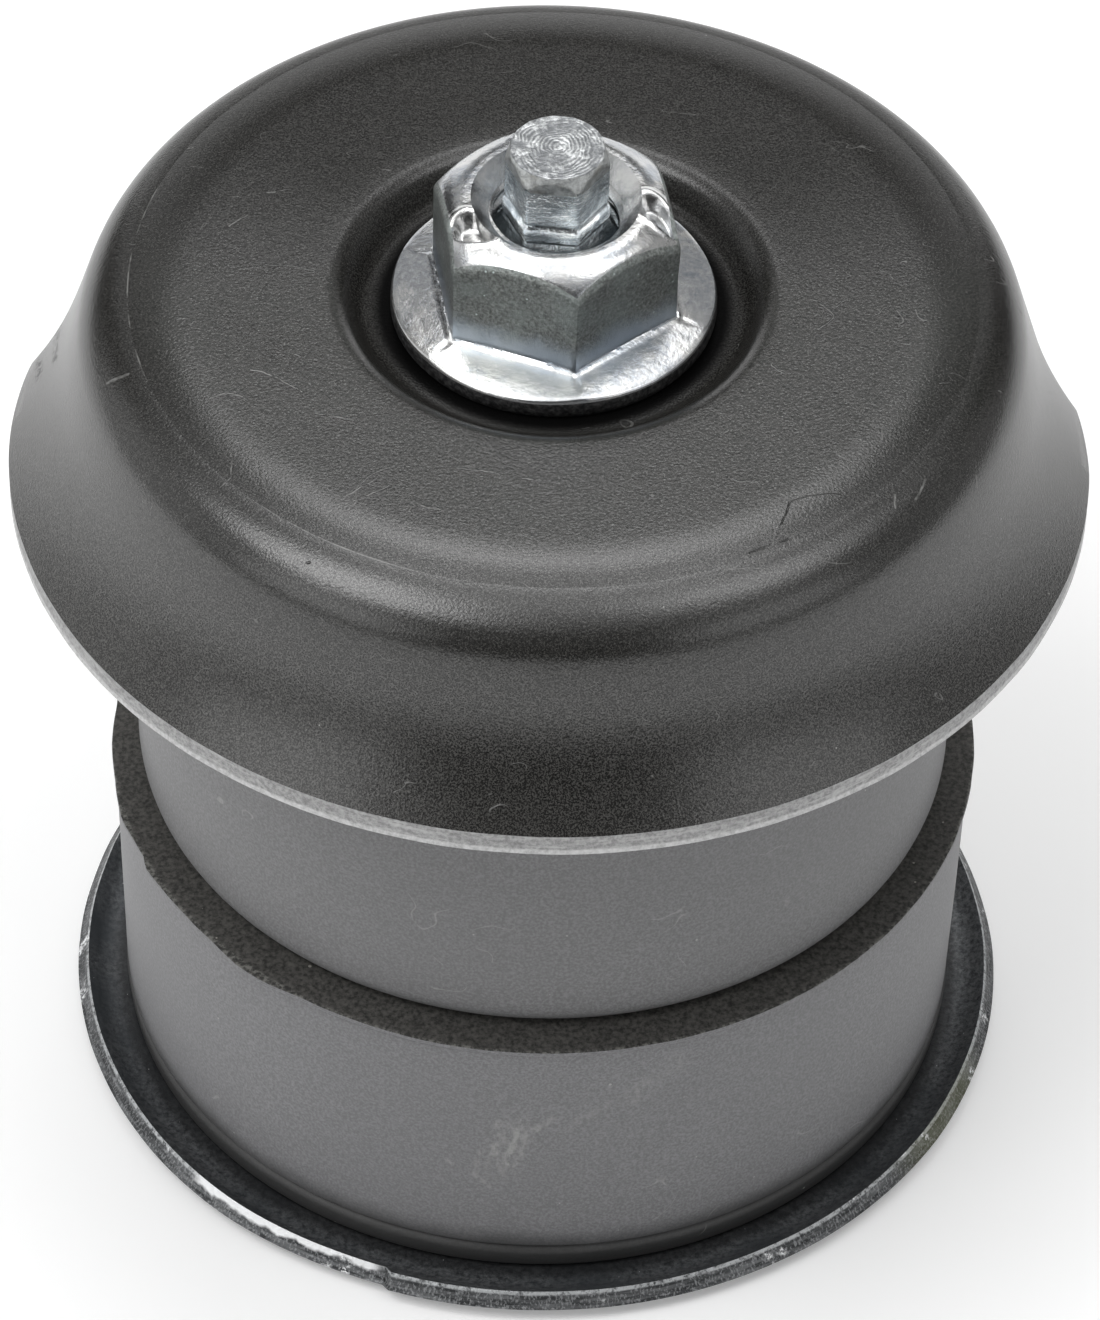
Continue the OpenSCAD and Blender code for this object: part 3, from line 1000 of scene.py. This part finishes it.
def black_coating():
    """Satin black coat on the cup: fine grain, a little dust, hair scratches, a pale line on the
    crease that is painted highlight, painted sheen on the flare, and painted shade in the recess
    and at the rear.
    """
    f = Finish("cup_black_coat", Metallic=0.0)
    radius, z, turn = f.parts()
    grain = f.grain(7000, 2.0, 0.7)
    coarse = f.grain(4500, 2.0, 0.6)
    cloud = f.grain(55, 4.0, 0.55)
    colour = f.blend(cloud, (0.006, 0.006, 0.0055), (0.012, 0.0115, 0.0105))
    colour = f.blend(f.above(grain, 0.40, 0.68), colour, (0.040, 0.039, 0.036))
    dust = f.most(f.specks(700, 0.06, 0.02), f.specks(330, 0.035, 0.06))
    flat_hairs = f.hairs(150, 0.0040, 0.645, (1.0, 2.4, 1.6))
    other_hairs = f.hairs(110, 0.0032, 0.66, shift=(0.2, 0.5, 0.1))
    named = f.most(*[f.stroke(*scratch) for scratch in CUP_SCRATCHES])
    patchy = f.above(f.grain(900, 2.0), 0.35, 0.6)
    named = f.times(named, f.scaled(patchy, 0.6, 0.3))
    # Painted highlight: a pale patchy line along the shoulder's crease, at the left side and the
    # front
    split = f.step("SeparateXYZ", {"Vector": f.moved(shift=(0, -CREASE_RING_SHIFT * MM, 0))})
    x, y, _ = split.outputs
    ring = f.length(x, y)
    crease = f.between(ring, 0.03387, 0.03397, 0.00004)
    crease = f.times(crease, f.above(z, 0.0785, 0.0790))
    side = f.above(f.sum("ABSOLUTE", turn), 2.78, 2.84)
    front = f.between(turn, -2.25, -1.86, 0.08)
    worn = f.times(crease, f.most(side, front))
    worn = f.times(worn, f.above(f.grain(260, 3.0), 0.42, 0.58))
    folds = f.most(*[f.stroke(*fold) for fold in CUP_FOLDS])
    pits = f.times(folds, f.above(f.grain(1700, 3.0, 0.7), 0.50, 0.55))
    cracks = f.most(*[f.stroke(*crack) for crack in CUP_CRACKS])
    marks = f.most(
        f.times(dust, 0.7),
        f.times(flat_hairs, 0.22),
        f.times(other_hairs, 0.20),
        f.times(named, 0.50),
        f.times(worn, 0.40),
    )
    colour = f.blend(marks, colour, (0.34, 0.34, 0.33))
    colour = f.blend(f.times(cracks, 0.6), colour, (0.002, 0.002, 0.002))
    # Painted sheen: the grain on the flare is a little lighter
    flare_sheen = f.times(f.above(radius, 0.0372, 0.0398), f.above(grain, 0.44, 0.60))
    colour = f.blend(f.times(flare_sheen, 0.06), colour, (0.34, 0.33, 0.32))
    colour = f.blend(pits, colour, (0.002, 0.002, 0.002))
    sheen = f.scaled(cloud, 0.06, 0.18)
    sheen = f.scaled(grain, 0.08, sheen)
    # Painted shade down in the recess: the coat is near black there and shines less, and the recess
    # wall shines less except at the front
    outside_recess_shade = f.above(radius, 0.0136, 0.0150)
    gloss = f.scaled(f.above(grain, 0.34, 0.66), 0.40, 0.70)
    gloss = f.scaled(f.sum("SUBTRACT", coarse, 0.5), 0.25, gloss)
    front = f.between(turn, -2.4, -0.8, 0.3)
    wall = f.opposite(f.above(radius, 0.0158, 0.0172))
    shaded = f.times(wall, f.opposite(front))
    # Painted shade at the rear of the crown: the coat shines less there
    rear_shade = f.times(f.between(turn, 0.30, 2.84, 0.4), f.above(radius, 0.012, 0.022))
    for mark, change, plain in (
        (outside_recess_shade, 0.90, 0.10),
        (cracks, -0.45, 1.0),
        (pits, -0.9, 1.0),
        (shaded, -0.75, 1.0),
        (rear_shade, -0.60, 1.0),
    ):
        gloss = f.times(gloss, f.scaled(mark, change, plain))
    # Painted shade: near black down in the recess
    colour = f.blend(outside_recess_shade, (0.003, 0.003, 0.003), colour)
    f.put(Base_Color=colour, Roughness=sheen, Specular_IOR_Level=gloss)
    height = f.scaled(f.grain(38, 2.0), 2.5, coarse)
    height = f.scaled(flat_hairs, 0.8, height)
    height = f.scaled(f.most(cracks, pits), -2.0, height)
    f.relief(height, 0.4, 0.00007)
    return f.material


def cup_edge():
    """Sheared rim of the cup: finely torn mid grey with a thin brighter line low down."""
    f = Finish("cup_sheared_edge", Metallic=0.4)
    _, z, _ = f.parts()
    torn = f.grain(2600, 4.0, 0.72)
    layers = f.grain(2400, 3.0, 0.6, f.moved(size=(0.12, 0.12, 1.0), shift=(0.1, 0.3, 0.2)))
    low = f.opposite(f.above(z, 0.0620, 0.0623))
    colour = f.blend(f.above(torn, 0.3, 0.7), (0.20, 0.20, 0.20), (0.44, 0.44, 0.44))
    colour = f.blend(f.times(f.above(layers, 0.5, 0.7), 0.5), colour, (0.56, 0.56, 0.56))
    colour = f.blend(f.times(low, torn), colour, (0.75, 0.75, 0.75))
    return f.done(colour, f.scaled(torn, 0.2, 0.45), f.sum("ADD", torn, layers), 0.5, 0.00012)


def dark_steel():
    """Dark blue-grey washer sheet with fine mottling, a faint stain, painted glints, and painted
    shade round the cushion's foot.
    """
    f = Finish("washer_dark_steel", Metallic=0.5)
    mottle = f.grain(2300, 4.0, 0.75)
    cloud = f.grain(60, 4.0, 0.6)
    colour = f.blend(f.above(mottle, 0.25, 0.75), (0.032, 0.035, 0.039), (0.205, 0.212, 0.219))
    colour = f.blend(f.above(cloud, 0.42, 0.70), colour, (0.06, 0.067, 0.074))
    stain = f.above(f.grain(30, 2.0, 0.5, f.moved(shift=(0.31, 0.12, 0.5))), 0.60, 0.72)
    colour = f.blend(f.times(stain, 0.35), colour, (0.11, 0.105, 0.06))
    radius, _, _ = f.parts()
    # Painted shade: near black round the cushion's foot
    shade = f.scaled(mottle, 0.0006, radius)
    shade = f.opposite(f.above(shade, 0.0362, 0.0376))
    colour = f.blend(f.times(shade, 0.75), colour, (0.012, 0.012, 0.013))
    # Painted glints: pale specks
    glints = f.most(f.specks(1700, 0.10, 0.08), f.specks(420, 0.05, 0.12))
    colour = f.blend(f.times(glints, 0.8), colour, (0.60, 0.61, 0.62))
    return f.done(colour, f.scaled(mottle, 0.3, 0.28), mottle, 0.45, 0.00010)


def washer_edge():
    """Sheared rim of the washer: torn grey with fine ribs, a painted highlight along its top, and
    painted glints, near white at the freshly cut nick.
    """
    f = Finish("washer_sheared_edge", Metallic=0.8)
    _, z, turn = f.parts()
    torn = f.grain(2200, 4.0, 0.75)
    layers = f.grain(3600, 3.0, 0.6, f.moved(size=(0.07, 0.07, 1.0)))
    ribs = f.grain(5200, 2.0, 0.6, f.moved(size=(1.0, 1.0, 0.22)))
    colour = f.blend(f.above(layers, 0.35, 0.7), (0.04, 0.042, 0.044), (0.17, 0.175, 0.18))
    colour = f.blend(f.times(f.above(ribs, 0.48, 0.66), 0.55), colour, (0.40, 0.41, 0.42))
    # Painted highlight: a pale line along the top of the edge
    top = f.times(f.above(z, 0.00235, 0.00250), f.above(torn, 0.35, 0.55))
    colour = f.blend(f.times(top, 0.8), colour, (0.62, 0.64, 0.65))
    olive = f.between(turn, -0.62, -0.30, 0.08)
    colour = f.blend(f.times(olive, 0.3), colour, (0.20, 0.21, 0.09))
    # The fresh cut at the nick is brighter metal and is painted near white as a glint, as are
    # random spots along the edge
    fresh_cut_glints = f.between(turn, math.radians(-136), math.radians(-109), 0.02)
    wander = f.scaled(f.grain(420, 3.0, 0.6), 0.0011, z)
    fresh_cut_glints = f.times(fresh_cut_glints, f.above(wander, 0.00245, 0.00275))
    glint = f.times(f.above(f.grain(240, 3.0, 0.6), 0.60, 0.66), f.above(torn, 0.45, 0.6))
    fresh_cut_glints = f.most(fresh_cut_glints, glint)
    colour = f.blend(fresh_cut_glints, colour, (0.95, 0.96, 0.97))
    height = f.sum("ADD", torn, f.sum("ADD", layers, ribs))
    return f.done(colour, f.scaled(torn, 0.3, 0.3), height, 0.6, 0.00015)


def side_point(direction, height):
    """A point on the lower cushion's side, from a direction in degrees and a height."""
    azimuth = math.radians(direction)
    radius = FOOT_R + (height - SHEET) * DRAFT
    return radius * math.cos(azimuth), radius * math.sin(azimuth), height


# Pale chalk marks on the lower cushion's front: direction and height of both ends, width, strength
CHALK_MARKS = [
    ((265.7, 20.5), (265.1, 16.3), 0.55, 0.42),
    ((268.8, 21.3), (266.8, 15.3), 0.60, 0.46),
    ((272.8, 21.1), (268.4, 18.5), 0.55, 0.36),
    ((270.0, 19.3), (267.8, 14.5), 0.60, 0.34),
    ((263.5, 16.5), (262.7, 13.3), 0.50, 0.30),
    ((262.7, 13.3), (264.6, 12.1), 0.45, 0.26),
    ((258.2, 15.1), (259.6, 14.3), 0.22, 0.36),
    ((267.8, 18.9), (266.0, 14.9), 2.60, 0.20),
    ((283.4, 23.3), (289.0, 26.5), 1.60, 0.16),
    ((274.4, 19.7), (289.9, 27.1), 0.90, 0.15),
]


def rubber(name, low, high, front_marks):
    """Satin grey rubber with specks and curled marks; the lower one is painted darker towards its
    foot, as shade where it sits in the washer's dish.
    """
    f = Finish(name, Metallic=0.0)
    cloud = f.grain(30, 3.0, 0.5)
    fine = f.grain(4200, 2.0, 0.65)
    colour = f.blend(cloud, low, high)
    colour = f.blend(f.above(fine, 0.3, 0.75), [c * 0.80 for c in low], colour)
    dust = f.most(f.specks(800, 0.085, 0.07), f.specks(300, 0.045, 0.16))
    curls = f.hairs(120, 0.005, 0.63)
    marks = f.most(f.times(dust, 0.7), f.times(curls, 0.3))
    if front_marks:
        _, z, _ = f.parts()
        # Painted shade: darker towards the foot, where the cushion sits in the washer's dish
        foot = f.scaled(f.grain(160, 3.0), 0.0016, z)
        foot = f.opposite(f.above(foot, 0.0044, 0.0080))
        colour = f.blend(f.times(foot, 0.88), colour, (0.020, 0.020, 0.019))
        along = f.moved((0, -0.45, 0), (1.0, 1.0, 0.4))
        streaky = f.above(f.grain(2000, 3.0, 0.6, along), 0.38, 0.66)
        for start, end, width, strength in front_marks:
            mark = f.stroke(side_point(*start), side_point(*end), width, 0.3)
            mark = f.times(f.times(mark, streaky), strength)
            marks = f.most(marks, mark)
    colour = f.blend(marks, colour, (0.44, 0.44, 0.42))
    return f.done(colour, f.scaled(fine, 0.14, 0.42), f.scaled(cloud, 1.5, fine), 0.3, 0.00006)


def shaded_top_rubber():
    """Top of the lower cushion, painted near black as the shade under the cup's flare, with light
    specks and a rough trimmed edge.
    """
    f = Finish("rubber_top_painted_shade", Metallic=0.0)
    radius, _, _ = f.parts()
    fine = f.grain(2600, 3.0, 0.7)
    # Painted shade: the upward face is near black under the cup's flare
    colour = f.blend(f.above(fine, 0.25, 0.75), (0.011, 0.011, 0.010), (0.108, 0.104, 0.096))
    dust = f.most(f.specks(800, 0.10, 0.10), f.specks(330, 0.06, 0.12))
    colour = f.blend(f.times(dust, 0.7), colour, (0.42, 0.40, 0.36))
    trimmed_edge = f.times(f.above(radius, 0.03615, 0.03635), f.above(fine, 0.45, 0.62))
    colour = f.blend(f.times(trimmed_edge, 0.5), colour, (0.24, 0.24, 0.22))
    return f.done(colour, f.scaled(fine, 0.2, 0.6), fine, 0.4, 0.00008)


def nut_top():
    """Bluish zinc of the nut's top and flange: clouded, rougher and darker at the corners, with
    painted shade round the dents.
    """
    f = Finish("nut_zinc", Metallic=1.0)
    radius, z, _ = f.parts()
    cloud = f.grain(170, 3.0, 0.6)
    fine = f.grain(2600, 4.0, 0.7)
    colour = f.blend(f.above(cloud, 0.35, 0.65), (0.52, 0.54, 0.57), (0.80, 0.80, 0.79))
    colour = f.blend(f.times(f.above(fine, 0.35, 0.75), 0.4), colour, (0.84, 0.84, 0.82))
    tint = f.above(f.grain(240, 4.0, 0.65, f.moved(shift=(0.2, 0.4, 0.1))), 0.52, 0.66)
    colour = f.blend(f.times(tint, 0.5), colour, (0.36, 0.41, 0.48))
    worn = f.above(f.scaled(fine, 0.0012, radius), 0.0096, 0.0106)
    worn = f.times(worn, f.above(z, 0.0845, 0.0855))
    worn = f.times(worn, f.above(f.grain(700, 4.0, 0.7), 0.36, 0.56))
    colour = f.blend(f.times(worn, 0.7), colour, (0.15, 0.155, 0.15))
    for place, degrees, half_length, half_width in DENTS:
        middle = turned_by(Vector(place), math.radians(NUT_TURN))
        angle = math.radians(degrees + NUT_TURN)
        run = turned_by(Vector((half_length - half_width * 0.8, 0)), angle)
        ends = [(*(middle + side * run), NUT_Z + NUT_H - 0.6) for side in (-1, 1)]
        wide = f.stroke(*ends, half_width * 1.75, 0.6)
        inner = f.stroke(*ends, half_width * 1.05, 0.6)
        # Painted shade: a dark ring round each dent
        ring = f.times(wide, f.opposite(inner))
        ring = f.times(ring, f.above(f.grain(900, 3.0), 0.35, 0.55))
        colour = f.blend(f.times(ring, 0.8), colour, (0.07, 0.075, 0.08))
    roughness = f.scaled(worn, 0.12, f.scaled(fine, 0.14, 0.14))
    height = f.scaled(f.grain(900, 2.0), 1.2, fine)
    return f.done(colour, roughness, height, 0.4, 0.00006)


def shaded_nut_rim():
    """Edge and underside of the nut's flange, painted dark as the shade under the flange."""
    f = Finish("nut_flange_edge_painted_shade", Metallic=1.0)
    torn = f.grain(2600, 4.0, 0.7)
    # Painted shade: the flange's edge is dark grey
    colour = f.blend(f.above(torn, 0.35, 0.75), (0.06, 0.06, 0.062), (0.26, 0.26, 0.26))
    return f.done(colour, f.scaled(torn, 0.2, 0.45), torn, 0.6, 0.00008)


def nut_side():
    """Flats of the nut: grainy and grey-green above, smooth and bluish towards the flange."""
    f = Finish("nut_flat_zinc", Metallic=1.0)
    _, z, _ = f.parts()
    fine = f.grain(3600, 4.0, 0.75)
    cloud = f.grain(330, 3.0, 0.6)
    ragged = f.scaled(f.grain(300, 4.0, 0.65), 0.0030, z)
    upper = f.above(ragged, 0.0832, 0.0858)
    grainy = f.blend(f.above(fine, 0.32, 0.72), (0.13, 0.14, 0.135), (0.40, 0.425, 0.41))
    grainy = f.blend(f.times(f.above(cloud, 0.4, 0.7), 0.45), grainy, (0.36, 0.41, 0.40))
    glints = f.times(f.specks(1500, 0.16, 0.14), 0.8)
    grainy = f.blend(glints, grainy, (0.85, 0.95, 0.95))
    smooth = f.blend(cloud, (0.30, 0.345, 0.39), (0.42, 0.47, 0.52))
    colour = f.blend(upper, smooth, grainy)
    roughness = f.sum("ADD", f.times(upper, 0.10), 0.28)
    height = f.times(fine, f.sum("ADD", upper, 0.25))
    return f.done(colour, roughness, height, 0.9, 0.00010)


def tip_end():
    """End of the drive tip: faint uneven tool rings on a rough face, with painted highlights in
    blotches.
    """
    f = Finish("tip_ringed_end", Metallic=1.0)
    radius, _, _ = f.parts()
    wander = f.scaled(f.grain(280, 3.0, 0.6), 0.0018, radius)
    rings = f.sum("SINE", f.times(wander, 20000))
    rings = f.scaled(rings, 0.5, 0.5)
    clear = f.above(f.grain(380, 3.0, 0.6, f.moved(shift=(0.3, 0.1, 0.2))), 0.42, 0.66)
    torn = f.grain(2100, 4.0, 0.72)
    # Painted highlight: bright blotches over the rings
    highlight_blotches = f.above(f.grain(620, 4.0, 0.7), 0.45, 0.68)
    height = f.scaled(f.times(rings, clear), 0.30, torn)
    height = f.scaled(highlight_blotches, 0.35, height)
    colour = f.blend(f.above(height, 0.42, 1.15), (0.24, 0.25, 0.26), (0.92, 0.94, 0.95))
    return f.done(colour, f.scaled(torn, 0.25, 0.24), height, 0.9, 0.00010)


def tip_taper():
    """Rough tapered band under the tip's end."""
    f = Finish("tip_taper_zinc", Metallic=1.0)
    torn = f.grain(1300, 4.0, 0.72)
    cloud = f.grain(420, 3.0, 0.6)
    colour = f.blend(f.above(torn, 0.3, 0.7), (0.26, 0.27, 0.27), (0.60, 0.62, 0.62))
    colour = f.blend(f.times(f.above(cloud, 0.5, 0.7), 0.5), colour, (0.34, 0.32, 0.28))
    return f.done(colour, f.scaled(torn, 0.22, 0.26), torn, 0.7, 0.00015)


def stem_zinc():
    """Bolt's plating: bluish, cloudy and drawn, darker at the foot of the drive tip and in its
    scored band, painted shade in the nut's countersink with some stain.
    """
    f = Finish("bolt_zinc", Metallic=1.0)
    _, z, _ = f.parts()
    cloud = f.grain(420, 4.0, 0.65)
    drawn = f.grain(500, 3.0, 0.6, f.moved(size=(1.0, 1.0, 3.5)))
    fine = f.grain(2400, 3.0, 0.7)
    colour = f.blend(f.above(cloud, 0.3, 0.7), (0.30, 0.34, 0.37), (0.80, 0.84, 0.86))
    colour = f.blend(f.times(f.above(drawn, 0.5, 0.66), 0.6), colour, (0.92, 0.95, 0.95))
    # Painted shade: darker at the foot of the drive tip, down in the nut's countersink, and in the
    # scored groove, with some stain
    foot = f.opposite(f.above(z, 0.0872, 0.0891))
    score = f.between(z, 0.08995, 0.09025, 0.00008)
    uneven = f.times(f.above(drawn, 0.35, 0.6), 0.7)
    dark = f.most(f.times(foot, 0.75), f.times(score, uneven))
    colour = f.blend(dark, colour, (0.10, 0.12, 0.13))
    return f.done(colour, f.scaled(drawn, 0.2, 0.09), f.scaled(drawn, 1.5, fine), 0.7, 0.00010)


def plain_tube():
    """Plain drawn steel of the spacer sleeve."""
    f = Finish("sleeve_steel", Metallic=1.0)
    drawn = f.grain(900, 3.0, 0.6, f.moved(size=(1.0, 1.0, 0.06)))
    colour = f.blend(drawn, (0.34, 0.34, 0.35), (0.56, 0.56, 0.57))
    return f.done(colour, f.scaled(drawn, 0.2, 0.3), drawn, 0.2, 0.00005)


# Pieces

lower_rubber = rubber(
    "rubber_lower_side", (0.176, 0.176, 0.182), (0.284, 0.284, 0.293), CHALK_MARKS
)
upper_rubber = rubber("rubber_upper_side", (0.170, 0.170, 0.173), (0.275, 0.275, 0.281), [])

finish_piece(
    shape_washer(), "dished_washer", "lower_washer", "stack",
    [dark_steel(), washer_edge()],
)
finish_piece(
    shape_lower_cushion(), "lower_rubber_cushion", "lower_cushion", "stack",
    [lower_rubber, shaded_top_rubber()],
)
finish_piece(
    shape_upper_cushion(), "upper_rubber_cushion", "upper_cushion", "stack",
    [upper_rubber],
)
finish_piece(
    shape_cup(), "flared_cup", "upper_cup", "stack",
    [black_coating(), cup_edge()],
)
finish_piece(
    shape_bolt(), "headed_bolt", "bolt", "screw",
    [stem_zinc(), tip_end(), tip_taper()], crisp=40.0,
)
finish_piece(
    shape_nut(), "dented_flange_nut", "flange_nut", "nut",
    [nut_top(), shaded_nut_rim(), nut_side()], crisp=40.0,
)

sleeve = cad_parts["spacer_sleeve"]
sleeve.data.materials.clear()
sleeve.data.materials.append(plain_tube())


# Floor, light and camera


def pale_floor():
    """A plain white floor. The camera and reflections see it a little lighter, with its shadow."""
    bm = bmesh.new()
    bmesh.ops.create_grid(bm, x_segments=2, y_segments=2, size=2.5)
    bmesh.ops.translate(bm, verts=bm.verts, vec=(0, 0, -0.00002))
    mesh = bpy.data.meshes.new("floor")
    bm.to_mesh(mesh)
    bm.free()
    floor = bpy.data.objects.new("floor", mesh)
    bpy.context.scene.collection.objects.link(floor)
    material = bpy.data.materials.new("floor_white")
    material.use_nodes = True
    tree = material.node_tree
    tree.nodes.remove(tree.nodes["Principled BSDF"])
    path = tree.nodes.new("ShaderNodeLightPath")
    seen = tree.nodes.new("ShaderNodeMath")
    seen.operation = "MAXIMUM"
    through = tree.nodes.new("ShaderNodeMath")
    through.operation = "MAXIMUM"
    tree.links.new(path.outputs["Is Camera Ray"], seen.inputs[0])
    tree.links.new(path.outputs["Is Glossy Ray"], seen.inputs[1])
    tree.links.new(seen.outputs[0], through.inputs[0])
    tree.links.new(path.outputs["Is Transmission Ray"], through.inputs[1])
    lit = tree.nodes.new("ShaderNodeBsdfDiffuse")
    lit.inputs["Color"].default_value = (0.88, 0.88, 0.88, 1)
    lift = tree.nodes.new("ShaderNodeEmission")
    lift.inputs["Color"].default_value = (0.2, 0.2, 0.2, 1)
    tree.links.new(through.outputs[0], lift.inputs["Strength"])
    both = tree.nodes.new("ShaderNodeAddShader")
    tree.links.new(lit.outputs[0], both.inputs[0])
    tree.links.new(lift.outputs[0], both.inputs[1])
    tree.links.new(both.outputs[0], tree.nodes["Material Output"].inputs["Surface"])
    mesh.materials.append(material)


def soft_light(name, place, aim, width, height, radiance):
    """A rectangular soft light of one brightness, turned towards a point."""
    lamp = bpy.data.lights.new(name, "AREA")
    lamp.shape = "RECTANGLE"
    lamp.size = width
    lamp.size_y = height
    lamp.energy = radiance * math.pi * width * height
    light = bpy.data.objects.new(name, lamp)
    light.location = place
    light.rotation_euler = (Vector(aim) - Vector(place)).to_track_quat("-Z", "Y").to_euler()
    bpy.context.scene.collection.objects.link(light)
    light.visible_camera = False


def light_studio():
    """Soft boxes over a dim ceiling, brighter behind and at the sides, with pale walls round it."""
    for name, x, y, z, width, depth, radiance in (
        ("wide_ceiling", 0.0, -0.1, 1.42, 3.0, 2.0, 0.55),
        ("long_box", 0.0, 0.52, 1.38, 0.86, 1.72, 0.75),
        ("end_strip", 0.0, 1.23, 1.34, 0.86, 0.26, 0.8),
        ("rear_box", -0.03, 0.67, 1.30, 0.66, 0.56, 2.5),
        ("left_box", -0.75, -0.35, 1.30, 0.90, 0.85, 4.2),
        ("right_box", 0.60, -0.10, 1.30, 0.62, 0.58, 2.5),
    ):
        soft_light(name, (x, y, z), (x, y, 0), width, depth, radiance)
    for name, direction, distance, low, high, width, radiance in (
        ("rear_wall", 0, 1.8, 0.05, 0.80, 2.0, 1.1),
        ("rear_left_panel", -27, 1.85, 1.05, 1.60, 0.7, 0.5),
        ("rear_right_panel", 27, 1.85, 1.05, 1.60, 0.7, 0.45),
        ("left_wall", -80, 1.6, 0.05, 1.25, 1.4, 0.7),
        ("right_wall", 80, 1.6, 0.05, 1.25, 1.4, 0.32),
        ("front_left_wall", -130, 1.9, 0.30, 1.50, 1.4, 1.5),
        ("front_right_wall", 130, 1.9, 0.30, 1.50, 1.4, 1.1),
        ("front_wall", 180, 1.8, 0.95, 1.50, 1.6, 0.15),
    ):
        x = distance * math.sin(math.radians(direction))
        y = distance * math.cos(math.radians(direction))
        z = (low + high) / 2
        soft_light(name, (x, y, z), (0, 0, z), width, high - low, radiance)
    world = bpy.data.worlds.new("studio")
    world.use_nodes = True
    world.node_tree.nodes["Background"].inputs["Color"].default_value = (1, 1, 1, 1)
    world.node_tree.nodes["Background"].inputs["Strength"].default_value = 0.03
    bpy.context.scene.world = world
    bpy.context.scene.view_settings.view_transform = "Standard"


# The photograph's view: elevation and roll in degrees, lengths in millimetres
VIEW_ELEVATION = 45.54
VIEW_ROLL = 1.552
VIEW_DISTANCE = 584.2
VIEW_AIM = (0.48, -29.4)
VIEW_FOCAL_PX = 7345.9
VIEW_ORIGIN_Z = 80.2
IMAGE_HEIGHT_PX = 1320
SENSOR = 36.0


def place_camera():
    """A camera at the photograph's angle, fitted to the image's height."""
    elevation = math.radians(VIEW_ELEVATION)
    roll = math.radians(VIEW_ROLL)
    back = Vector((0, -math.cos(elevation), math.sin(elevation)))
    right = Vector((1, 0, 0))
    up = back.cross(right)
    place = (
        Vector((0, 0, VIEW_ORIGIN_Z))
        + back * VIEW_DISTANCE
        + right * VIEW_AIM[0]
        + up * VIEW_AIM[1]
    )
    across = right * math.cos(roll) + up * math.sin(roll)
    upward = up * math.cos(roll) - right * math.sin(roll)
    data = bpy.data.cameras.new("photo_view")
    data.sensor_fit = "VERTICAL"
    data.sensor_height = SENSOR
    data.lens = VIEW_FOCAL_PX * SENSOR / IMAGE_HEIGHT_PX
    data.clip_start = 0.01
    camera = bpy.data.objects.new("photo_view", data)
    camera.matrix_world = Matrix.Translation(place * MM) @ Matrix(
        (across, upward, back)
    ).transposed().to_4x4()
    bpy.context.scene.collection.objects.link(camera)
    bpy.context.scene.camera = camera


pale_floor()
light_studio()
place_camera()
